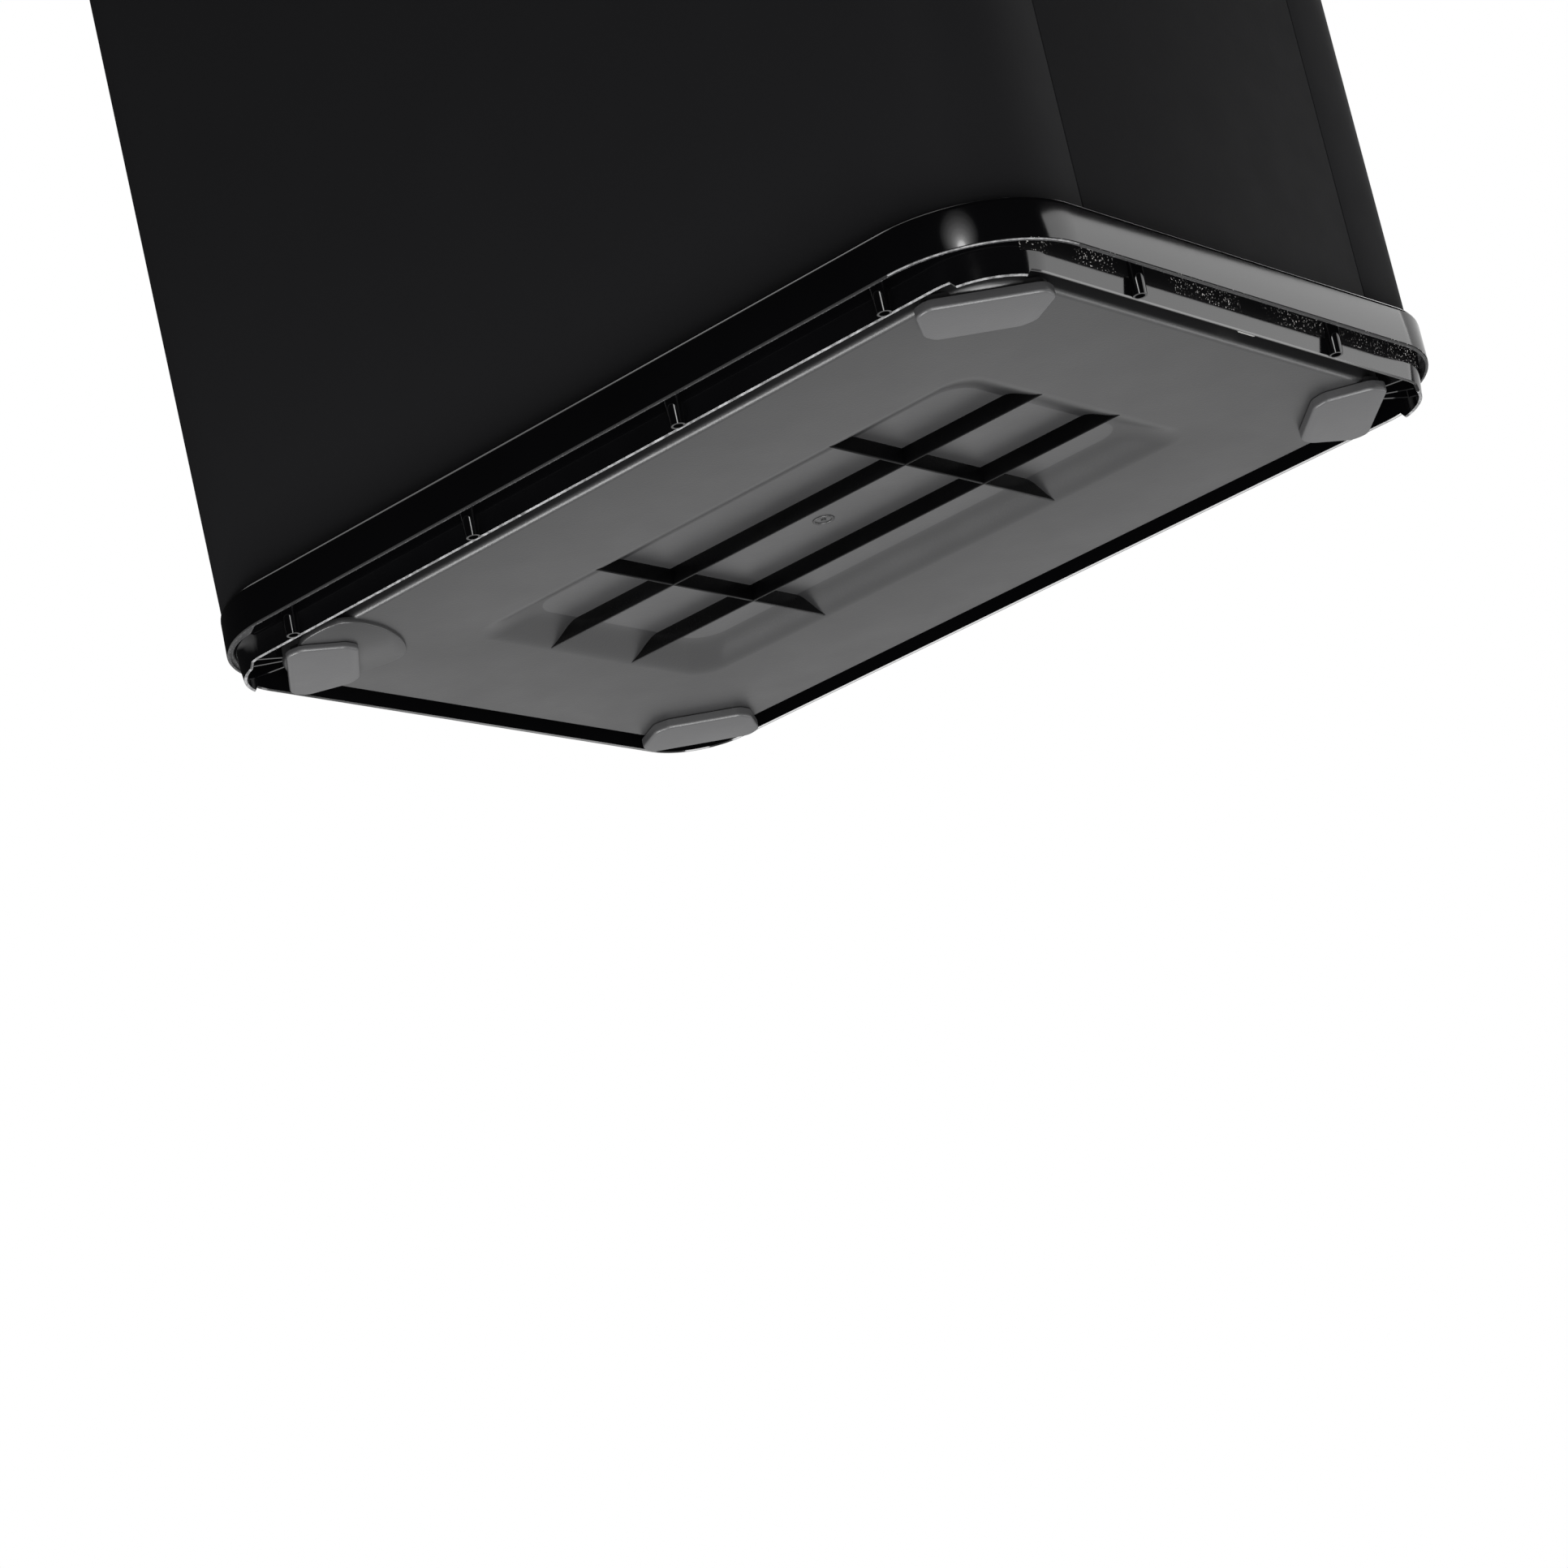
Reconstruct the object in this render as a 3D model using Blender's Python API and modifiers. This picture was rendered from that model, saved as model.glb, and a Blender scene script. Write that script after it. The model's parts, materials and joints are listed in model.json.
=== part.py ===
"""Kitchen trash compactor: a tall bin with a hand plunger in its hinged lid.

Metres, +Z up. The front faces -Y, and the origin is on the floor under the middle of the bounding box.
The sheet-metal casing stands on a moulded base ring. Its lid carries two rods with a press plate below
and a folding grip above, and the waste goes into a bucket that lifts out past the open lid.
"""

import math

import bmesh
import bpy
from mathutils import Matrix, Vector

# Whole object
GAP = 0.0003  # between neighbours that touch
COPLANAR = 0.0001  # keeps the faces of joined solids out of one plane
OVERLAP = 0.001  # of a cutter past the face that it cuts, or of a solid into the one it joins
CORNER_STEPS = 6  # straight pieces in a rounded corner
FRONT_LEAN = 0.0405  # the casing's front moves forward by this much for each unit of height

# Base ring, whose middle lies a little behind the middle of the whole object
RING_Y = 0.010
RING_HALF_X = 0.1508
RING_HALF_Y = 0.210
RING_RADIUS = 0.0485
RING_BOTTOM = 0.0118
RING_TOP = 0.0284
RING_EDGE = 0.0005  # softened edges
LIP_INSET = 0.0065  # upstand inside the casing
LIP_THICKNESS = 0.0025
LIP_TOP = 0.040
FLANGE_INSET = 0.034  # shelf that the bucket stands on
FLANGE_BOTTOM = 0.022
FLANGE_TOP = 0.025
SKIRT_INSET = 0.0092
SKIRT_THICKNESS = 0.0018
SKIRT_TAPER = 0.0024  # its outer face leans out by this much up to the top of the groove
SKIRT_RADIUS = 0.029  # tighter than the ring's own corners
SKIRT_BOTTOM = 0.0031
CORNER_SKIRT_BOTTOM = 0.0009
CORNER_SKIRT_FROM = math.radians(14)
CORNER_SKIRT_TO = math.radians(76)
GROOVE_INSET = 0.0016  # groove between the ring's outer wall and the skirt
GROOVE_DEPTH = 0.006
CORNER_GROOVE_DEPTH = 0.0008
BEAD_RADIUS = 0.0032
BEAD_INSET = 0.0072
BEADS_LONG_SIDE = (0.0528, 0.1519)  # distance of each bead from the middle of its side
BEADS_REAR = 0.0613
BEAD_SINK = 0.001  # into the solid above the groove

# Base plate with its recess, ribs and feet
PLATE_HALF_X = 0.1302
PLATE_HALF_Y = 0.1903
PLATE_RADIUS = 0.030
PLATE_BOTTOM = 0.0043
PLATE_THICKNESS = 0.0024
PLATE_EDGE = 0.001
RECESS_HALF_X = 0.0704
RECESS_HALF_Y = 0.130
RECESS_RADIUS = 0.012
RECESS_DEPTH = 0.0068
RECESS_SLOPE = 0.0188  # plan width of its sloping walls
RIB_X = 0.0238
RIB_Y = 0.0606
RIB_THICKNESS = 0.0013
FOOT_CENTRE = Vector((0.112, 0.171))  # from the ring's middle, in the +X +Y quarter
FOOT_ANGLE = math.radians(-45)  # of its long side, which crosses the corner
FOOT_OUTER = 0.013  # outward from its centre
FOOT_INNER = 0.0155
FOOT_OUTER_HALF = 0.0255  # half lengths of its two long sides
FOOT_INNER_HALF = 0.0195
FOOT_RADIUS = 0.006
FOOT_TOP = PLATE_BOTTOM - GAP
FOOT_EDGE = 0.0008
BOSS_DEPTH = 0.0015  # low boss round the front right foot
BOSS_OUTLINE = (
    (0.136, -0.154), (0.136, -0.140), (0.131, -0.134), (0.119, -0.1325), (0.108, -0.135), (0.096, -0.140),
    (0.086, -0.148), (0.083, -0.160), (0.090, -0.174), (0.104, -0.182), (0.119, -0.178), (0.130, -0.167),
)
BASE_SCREW = Vector((0.070, 0.1815))
BASE_HOLE_DEPTH = 0.0118
BASE_SCREW_LENGTH = -0.012  # negative lengths point down
HOUSING_SCREW_LENGTH = 0.026
LID_SCREW_LENGTH = 0.011
ROD_SCREW_LENGTH = 0.016
SCREW_RADIUS = 0.0019
SCREW_HEAD_RADIUS = 0.004
SCREW_HEAD_HEIGHT = 0.0022
BOSS_RADIUS = 0.0044
SCREW_HOLE_RADIUS = 0.0023

# Casing
CASING_INSET = 0.0042
CASING_THICKNESS = 0.0008
CASING_BOTTOM = RING_TOP + GAP
CASING_TOP = 0.596
CASING_FRONT_RADIUS = 0.036
CASING_BACK_RADIUS = 0.0435
CASING_HALF_X = RING_HALF_X - CASING_INSET
CASING_BACK = RING_Y + RING_HALF_Y - CASING_INSET
SEAM_X = 0.0882
PANEL_FLANGE = 0.0118
PANEL_STEP = 0.002
CASING_STEPS = 8  # straight pieces in each of its rounded corners

# Collar, seal and rear housing
COLLAR_HALF_X = 0.1474
COLLAR_FRONT = -0.220
COLLAR_BACK = 0.217
COLLAR_RADIUS = 0.036
COLLAR_TOP = 0.612
COLLAR_LIP_BOTTOM = 0.586
COLLAR_LIP_INSET = 0.0024
MOUTH_HALF_X = 0.1385
MOUTH_FRONT = -0.2035
MOUTH_BACK = 0.157
MOUTH_RADIUS = 0.028
SEAL_WIDTH = 0.0028
SEAL_MARGIN = 0.0006
SEAL_HEIGHT = 0.0019
HOUSING_FRONT = 0.1705
HOUSING_WALL = 0.0022
HOUSING_FRONT_RADIUS = 0.001
HOUSING_SCREW = Vector((0.110, 0.195))
HOUSING_HOLE_DEPTH = 0.0137
BUFFER_RADIUS = 0.0022
BUFFER_X = 0.1447
BUFFERS_Y = (-0.170, 0.140)
CATCH_HALF_X = 0.018
CATCH_DEPTH = 0.006
CATCH_Y = -0.2137
CATCH_HEIGHT = 0.0045
CATCH_GAP = 0.0006
CATCH_EDGE = 0.0003

# Lid and its hinge
LID_TOP = 0.664
LID_BOTTOM = 0.6146
LID_BACK = 0.161
LID_WALL = 0.0024
LID_EDGE = 0.006
LID_BACK_RADIUS = 0.003
HINGE_Y = 0.163
HINGE_Z = 0.6575
BARREL_RADIUS = 0.0062
PIN_RADIUS = 0.0025
PIN_HALF = 0.117
ARM_FROM = 0.0605
ARM_TO = 0.1075
KNUCKLE_HALF = 0.056
KNUCKLE_END_FROM = 0.110
KNUCKLE_END_TO = 0.118
KNUCKLE_CLEARANCE = 0.0008
ARM_REACH = 0.012  # from the hinge into the lid
WEB_RISE = 0.0004  # of the housing's webs above the hinge line
LINER_BOTTOM = 0.6148
LINER_TOP = 0.6172
LID_SCREWS = ((0.125, -0.190), (0.125, 0.125))
LID_HOLE_DEPTH = 0.0105

# Plunger: everything on the two rods
ROD_X = 0.060
ROD_Y = -0.010
ROD_RADIUS = 0.007
ROD_THREAD = 0.016  # depth of the screw hole in its lower end
TRAY_HALF_X = 0.116  # lid recess around the grip
TRAY_FRONT = ROD_Y - 0.082
TRAY_BACK = ROD_Y + 0.048
TRAY_RADIUS = 0.016
TRAY_FLOOR = 0.645
TRAY_TAPER = 0.002
TRAY_WALL = 0.0022
BUSH_RADIUS = 0.0095
BUSH_FLANGE_RADIUS = 0.0125
BUSH_FLANGE_HEIGHT = 0.002
BUSH_BOTTOM = 0.6125
PRESS_HALF_X = 0.118
PRESS_HALF_Y = 0.136
PRESS_RADIUS = 0.030
PRESS_TOP = 0.500
PRESS_BOTTOM = 0.483
PRESS_WALL = 0.0025
PRESS_EDGE = 0.005
SOCKET_RADIUS = 0.0125
SOCKET_TOP = 0.5115
SOCKET_FLOOR = 0.501
SCREW_WAY_RADIUS = 0.0028
PRESS_RIB_X = 0.030
PRESS_RIB_Y = 0.050
PRESS_RIB_HALF = 0.001
PRESS_RIB_BOTTOM = 0.486
PRESS_RIB_HEIGHT = 0.010
WIPER_WIDTH = 0.0035
WIPER_BOTTOM = 0.482
WIPER_TOP = 0.488
HEAD_HALF_X = 0.080
HEAD_HALF_Y = 0.014
HEAD_BOTTOM = 0.648
HEAD_TOP = 0.657
HEAD_WALL = 0.0022  # over the ends of the rods
HEAD_EDGE = 0.002
GRIP_X = 0.088
GRIP_Z = 0.6545
GRIP_RADIUS = 0.005
GRIP_REACH = 0.064
GRIP_CORNER = 0.018
GRIP_TAIL = 0.0065
GRIP_PIN_RADIUS = 0.002
PIN_DEPTH = 0.0082  # of each grip pin in the head
PIN_REACH = 0.0022  # of each grip pin past the middle of the grip's tube
SLEEVE_RADIUS = 0.0073
SLEEVE_HALF = 0.045
LOCK_HALF_X = 0.012
LOCK_FRONT = ROD_Y + 0.0235
LOCK_BACK = ROD_Y + 0.0375
LOCK_TOP = 0.6525
LOCK_EDGE = 0.001
LOCK_RAIL_REACH = 0.009  # in front of the slide's rest place
LOCK_RAIL_WIDTH = 0.0025
LOCK_RAIL_TOP = 0.650
TONGUE_HALF_X = 0.005
TONGUE_FRONT = ROD_Y + 0.0155
TONGUE_BOTTOM = 0.6495
TONGUE_TOP = 0.6515
TONGUE_PLAY = 0.0007
TONGUE_SLOT_DEPTH = 0.0095

# Odour filter under the lid's rear half
FILTER_Y = 0.106
FILTER_HALF_X = 0.054
FILTER_HALF_Y = 0.032
FILTER_CORNER = 0.003
FELT_INSET = 0.0015
FELT_RISE = 0.0005  # above the liner's lower face
FELT_EDGE = 0.001
CASSETTE_TOP = 0.636
CASSETTE_WALL = 0.002
COVER_BOTTOM = 0.6115
COVER_TOP = LINER_BOTTOM - GAP
COVER_MARGIN = 0.005
COVER_CORNER = 0.004
COVER_SLOTS = 7
SLOT_HALF_X = 0.0022
SLOT_HALF_Y = 0.024
SLOT_CORNER = 0.002

# Bucket
BUCKET_WALL = 0.002
BUCKET_BOTTOM = FLANGE_TOP + GAP
BUCKET_RIM = 0.598
BUCKET_FOOT = (0.122, -0.162, 0.143)  # half width, front and back
BUCKET_MOUTH = (0.1335, -0.1985, 0.1525)
BUCKET_RADIUS = 0.026
BUCKET_EDGE = 0.004
BUCKET_SPLIT = 0.5585  # top of the bucket itself
RIM_WIDTH = 0.0035
RIM_WALL = 0.0016
RIM_BOTTOM = 0.5525
FINGER_HOLE = (0.045, 0.009)  # half length and half height
FINGER_HOLE_Z = 0.578
FINGER_HOLE_FROM = 0.125
FINGER_HOLE_TO = 0.142

MATERIALS = {
    "black_satin_paint": ((0.010, 0.010, 0.011), 0.42, 0.0),
    "gloss_black_plastic": ((0.006, 0.006, 0.007), 0.18, 0.0),
    "dark_grey_plastic": ((0.045, 0.044, 0.045), 0.50, 0.0),
    "rubber": ((0.020, 0.020, 0.020), 0.75, 0.0),
    "steel": ((0.62, 0.62, 0.63), 0.28, 1.0),
    "grey_plastic": ((0.16, 0.165, 0.17), 0.45, 0.0),
    "carbon_felt": ((0.015, 0.015, 0.016), 0.95, 0.0),
    "acetal": ((0.70, 0.70, 0.68), 0.40, 0.0),
}


# ---- scene and object helpers ----


def start_scene():
    for old in list(bpy.data.objects):
        bpy.data.objects.remove(old, do_unlink=True)
    for name in ("trash_compactor", "cutters"):
        bpy.context.scene.collection.children.link(bpy.data.collections.new(name))


def material(name):
    found = bpy.data.materials.get(name)
    if found:
        return found
    colour, roughness, metallic = MATERIALS[name]
    made = bpy.data.materials.new(name)
    made.use_nodes = True
    shader = made.node_tree.nodes["Principled BSDF"]
    shader.inputs["Base Color"].default_value = (*colour, 1.0)
    shader.inputs["Roughness"].default_value = roughness
    shader.inputs["Metallic"].default_value = metallic
    return made


def place(obj, finish=None):
    """Puts the object in the part's collection or, with no finish, among the cutters."""
    for old in list(obj.users_collection):
        old.objects.unlink(obj)
    bpy.data.collections["trash_compactor" if finish else "cutters"].objects.link(obj)
    if finish:
        obj.data.materials.clear()
        obj.data.materials.append(material(finish))
    else:
        obj.hide_render = True
        obj.display_type = "WIRE"
    return obj


def mesh_object(name, bm, finish=None):
    mesh = bpy.data.meshes.new(name)
    bm.to_mesh(mesh)
    bm.free()
    obj = bpy.data.objects.new(name, mesh)
    bpy.context.scene.collection.objects.link(obj)
    return place(obj, finish)


def smooth(obj, degrees=35):
    obj.data.shade_smooth()
    obj.data.set_sharp_from_angle(angle=math.radians(degrees))
    return obj


def box(name, low, high, finish=None, bevel=0.0):
    """A block between two corners, with its edges rounded if bevel is given."""
    low, high = Vector(low), Vector(high)
    bm = bmesh.new()
    size = Matrix.Diagonal((*(high - low), 1.0))
    bmesh.ops.create_cube(bm, size=1.0, matrix=Matrix.Translation((low + high) / 2) @ size)
    obj = mesh_object(name, bm, finish)
    if bevel:
        rounding = obj.modifiers.new("rounded_edges", "BEVEL")
        rounding.width = bevel
        rounding.segments = 2
    return obj


def cylinder(name, radius, start, end, finish=None, sides=20):
    start, end = Vector(start), Vector(end)
    along = end - start
    turn = Vector((0, 0, 1)).rotation_difference(along).to_matrix().to_4x4()
    bm = bmesh.new()
    bmesh.ops.create_cone(
        bm,
        cap_ends=True,
        segments=sides,
        radius1=radius,
        radius2=radius,
        depth=along.length,
        matrix=Matrix.Translation((start + end) / 2) @ turn,
    )
    return smooth(mesh_object(name, bm, finish))


def as_mesh(curve_object, finish=None):
    """Makes a curve object a welded mesh object of the same name."""
    name = curve_object.name
    graph = bpy.context.evaluated_depsgraph_get()
    mesh = bpy.data.meshes.new_from_object(curve_object.evaluated_get(graph))
    matrix = curve_object.matrix_world.copy()
    bpy.data.objects.remove(curve_object, do_unlink=True)
    bm = bmesh.new()
    bm.from_mesh(mesh)
    bmesh.ops.remove_doubles(bm, verts=bm.verts, dist=0.00001)
    bmesh.ops.recalc_face_normals(bm, faces=bm.faces)
    obj = mesh_object(name, bm, finish)
    obj.matrix_world = matrix
    return obj


def closed_curve(name, outlines):
    """A flat curve object: the first outline is the outer edge, and any others are holes."""
    curve = bpy.data.curves.new(name, "CURVE")
    curve.dimensions = "2D"
    curve.fill_mode = "BOTH"
    for outline in outlines:
        spline = curve.splines.new("POLY")
        spline.points.add(len(outline) - 1)
        for point, (x, y) in zip(spline.points, outline):
            point.co = (x, y, 0.0, 1.0)
        spline.use_cyclic_u = True
    obj = bpy.data.objects.new(name, curve)
    bpy.context.scene.collection.objects.link(obj)
    return obj


def plate(name, outlines, low, high, finish=None):
    """A flat piece of constant outline between two heights."""
    flat = closed_curve(name, outlines)
    flat.data.extrude = (high - low) / 2
    flat.location.z = (high + low) / 2
    bpy.context.view_layer.update()
    return smooth(as_mesh(flat, finish))


def tube(name, points, radius, finish=None):
    curve = bpy.data.curves.new(name, "CURVE")
    curve.dimensions = "3D"
    curve.bevel_depth = radius
    curve.bevel_resolution = 3
    curve.use_fill_caps = True
    spline = curve.splines.new("POLY")
    spline.points.add(len(points) - 1)
    for point, place_at in zip(spline.points, points):
        point.co = (*place_at, 1.0)
    obj = bpy.data.objects.new(name, curve)
    bpy.context.scene.collection.objects.link(obj)
    return smooth(as_mesh(obj, finish))


def turned(name, profile, centre, finish):
    """A turned piece: the profile's (radius, height) points run down its outer side."""
    bm = bmesh.new()
    corners = [bm.verts.new((radius, 0.0, height)) for radius, height in profile]
    for start, end in zip(corners, corners[1:] + corners[:1]):
        bm.edges.new((start, end))
    obj = mesh_object(name, bm, finish)
    obj.location = centre
    screw = obj.modifiers.new("turn", "SCREW")
    screw.steps = 24
    screw.render_steps = 24
    screw.use_merge_vertices = True
    screw.merge_threshold = 0.0001
    return obj


def loft(name, loops, finish=None, ends="caps"):
    """A closed skin through loops of equal point counts. Its ends are caps, or joined into a band."""
    bm = bmesh.new()
    rows = [[bm.verts.new(point) for point in loop] for loop in loops]
    pairs = list(zip(rows, rows[1:]))
    if ends == "joined":
        pairs.append((rows[-1], rows[0]))
    count = len(rows[0])
    for low, high in pairs:
        for i in range(count):
            j = (i + 1) % count
            bm.faces.new((low[i], low[j], high[j], high[i]))
    if ends == "caps":
        bm.faces.new(rows[0])
        bm.faces.new(rows[-1])
    bmesh.ops.recalc_face_normals(bm, faces=bm.faces)
    return smooth(mesh_object(name, bm, finish))


def combine(obj, other, operation):
    step = obj.modifiers.new(other.name, "BOOLEAN")
    step.operation = operation
    step.solver = "EXACT"
    step.object = other
    return obj


def cut(obj, *others):
    for other in others:
        combine(obj, other, "DIFFERENCE")
    return obj


def add(obj, *others):
    for other in others:
        combine(obj, other, "UNION")
    return obj


# ---- outlines ----


def arc(x, y, radius, start, end, steps=CORNER_STEPS):
    """Points from one angle to another, in degrees."""
    angles = [math.radians(start + (end - start) * i / steps) for i in range(steps + 1)]
    return [(x + radius * math.cos(a), y + radius * math.sin(a)) for a in angles]


def outline(half_x, front, back, front_radius, back_radius):
    """A rounded rectangle, anticlockwise from its front right corner."""
    fx, fy = half_x - front_radius, front + front_radius
    bx, by = half_x - back_radius, back - back_radius
    return (
        arc(fx, fy, front_radius, -90, 0)
        + arc(bx, by, back_radius, 0, 90)
        + arc(-bx, by, back_radius, 90, 180)
        + arc(-fx, fy, front_radius, 180, 270)
    )


def ring_outline(inset, corner=RING_RADIUS):
    """A loop inside the ring's outer face. corner is the corner radius that it would have at that face."""
    back = RING_HALF_Y - inset
    radius = corner - inset
    return outline(RING_HALF_X - inset, RING_Y - back, RING_Y + back, radius, radius)


def skirt_outline(inset):
    return ring_outline(inset, SKIRT_RADIUS + SKIRT_INSET)


def base_outline(half_x, half_y, radius):
    return outline(half_x, RING_Y - half_y, RING_Y + half_y, radius, radius)


def collar_outline(inset):
    return outline(
        COLLAR_HALF_X - inset,
        COLLAR_FRONT + inset,
        COLLAR_BACK - inset,
        COLLAR_RADIUS - inset,
        COLLAR_RADIUS - inset,
    )


def lip_outline(inset):
    """Follows the inside of the casing at the height where the collar's lip ends."""
    front = casing_front(COLLAR_LIP_BOTTOM) + inset
    front_radius, back_radius = CASING_FRONT_RADIUS - inset, CASING_BACK_RADIUS - inset
    return outline(CASING_HALF_X - inset, front, CASING_BACK - inset, front_radius, back_radius)


def mouth_outline(margin):
    radius = MOUTH_RADIUS + margin
    return outline(MOUTH_HALF_X + margin, MOUTH_FRONT - margin, MOUTH_BACK + margin, radius, radius)


def lid_outline(inset):
    half_x, front, back = COLLAR_HALF_X - inset, COLLAR_FRONT + inset, LID_BACK - inset
    return outline(half_x, front, back, COLLAR_RADIUS - inset, LID_BACK_RADIUS)


def housing_outline(inset):
    half_x, front, back = COLLAR_HALF_X - inset, HOUSING_FRONT + inset, COLLAR_BACK - inset
    return outline(half_x, front, back, HOUSING_FRONT_RADIUS, COLLAR_RADIUS - inset)


def press_outline(margin):
    half_y = PRESS_HALF_Y + margin
    radius = PRESS_RADIUS + margin
    return outline(PRESS_HALF_X + margin, ROD_Y - half_y, ROD_Y + half_y, radius, radius)


def inward_press(inset):
    return press_outline(-inset)


def tray_outline(margin):
    radius = TRAY_RADIUS + margin
    return outline(TRAY_HALF_X + margin, TRAY_FRONT - margin, TRAY_BACK + margin, radius, radius)


def at_height(points, z):
    return [(x, y, z) for x, y in points]


def cover_loops(outline_at, bottom, top, edge, wall=0.0, steps=3):
    """Loops up the side of a lid-like cover and round its top edge, moved in by the wall's thickness."""
    loops = [at_height(outline_at(wall), bottom)]
    for i in range(steps + 1):
        turn = math.pi / 2 * i / steps
        inset = edge * (1 - math.cos(turn)) + wall
        loops.append(at_height(outline_at(inset), top - edge * (1 - math.sin(turn)) - wall))
    return loops


def cover(name, outline_at, bottom, top, edge, wall, finish):
    """A hollow cover, open below."""
    outer = cover_loops(outline_at, bottom, top, edge)
    inner = cover_loops(outline_at, bottom, top, edge, wall)
    return loft(name, outer[::-1] + inner, finish)


# ---- base ----


def stepped(outline_points, middle, elsewhere, start, end, corners=4):
    """Gives a ring loop one height round the middle of its first corners, and another elsewhere."""
    points = []
    for i, (x, y) in enumerate(outline_points):
        corner, step = divmod(i, CORNER_STEPS + 1)
        low = corner < corners and start < math.pi / 2 * step / CORNER_STEPS < end
        points.append((x, y, middle if low else elsewhere))
    return points


def skirt_edge(inset):
    """The skirt hangs lower round every corner but the front left one."""
    heights = (CORNER_SKIRT_BOTTOM, SKIRT_BOTTOM)
    return stepped(skirt_outline(inset), *heights, CORNER_SKIRT_FROM, CORNER_SKIRT_TO, corners=3)


def groove_edge(points):
    """The top of the groove, which is shallow round the front right corner only."""
    heights = (RING_BOTTOM + CORNER_GROOVE_DEPTH, RING_BOTTOM + GROOVE_DEPTH)
    return stepped(points, *heights, 0.0, math.pi / 2, corners=1)


def make_base_ring():
    inner_skirt = SKIRT_INSET + SKIRT_THICKNESS
    lip_inner = LIP_INSET + LIP_THICKNESS
    section = (
        (GROOVE_INSET, RING_BOTTOM),
        (RING_EDGE, RING_BOTTOM),
        (0.0, RING_BOTTOM + RING_EDGE),
        (0.0, RING_TOP - RING_EDGE),
        (RING_EDGE, RING_TOP),
        (LIP_INSET, RING_TOP),
        (LIP_INSET, LIP_TOP),
        (lip_inner, LIP_TOP),
        (lip_inner, FLANGE_TOP),
        (FLANGE_INSET, FLANGE_TOP),
        (FLANGE_INSET, FLANGE_BOTTOM),
    )
    loops = [groove_edge(skirt_outline(SKIRT_INSET - SKIRT_TAPER)), groove_edge(ring_outline(GROOVE_INSET))]
    loops += [at_height(ring_outline(inset), z) for inset, z in section]
    loops.append(at_height(skirt_outline(inner_skirt), FLANGE_BOTTOM))
    loops += [skirt_edge(inner_skirt), skirt_edge(SKIRT_INSET)]
    ring = loft("base_ring", loops, "gloss_black_plastic", ends="joined")
    bead_top = RING_BOTTOM + GROOVE_DEPTH + BEAD_SINK
    for i, (x, y) in enumerate(bead_places()):
        low = (x, y, SKIRT_BOTTOM + COPLANAR)
        add(ring, cylinder(f"bead_{i}", BEAD_RADIUS, low, (x, y, bead_top), sides=12))
    cut_screw_holes(ring, base_screw_places(), FLANGE_BOTTOM, FLANGE_TOP)


def bead_places():
    """On the right side and the rear one only."""
    bead_x, bead_y = RING_HALF_X - BEAD_INSET, RING_HALF_Y - BEAD_INSET
    right = [(bead_x, RING_Y + way * y) for y in BEADS_LONG_SIDE for way in (-1, 1)]
    rear = [(way * BEADS_REAR, RING_Y + bead_y) for way in (-1, 1)]
    return right + rear


def cut_screw_holes(obj, places, low, high):
    """Clearance holes right through between two heights."""
    for i, (x, y) in enumerate(places):
        start, end = (x, y, low - OVERLAP), (x, y, high + OVERLAP)
        cut(obj, cylinder(f"{obj.name}_screw_hole_{i}", SCREW_HOLE_RADIUS, start, end, sides=12))


def screw_bosses(obj, places, low, high, depth):
    """Round bosses joined to a moulding, each with a blind hole of the given depth from its free end."""
    way = 1 if depth > 0 else -1
    mouth = low if depth > 0 else high
    for i, (x, y) in enumerate(places):
        boss = cylinder(f"{obj.name}_boss_{i}", BOSS_RADIUS, (x, y, low), (x, y, high), sides=12)
        start, end = (x, y, mouth - way * OVERLAP), (x, y, mouth + depth)
        cut(boss, cylinder(f"{obj.name}_boss_hole_{i}", SCREW_HOLE_RADIUS, start, end, sides=12))
        add(obj, boss)


def base_screw_places():
    return [(sx * BASE_SCREW.x, RING_Y + sy * BASE_SCREW.y) for sx in (-1, 1) for sy in (-1, 1)]


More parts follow.
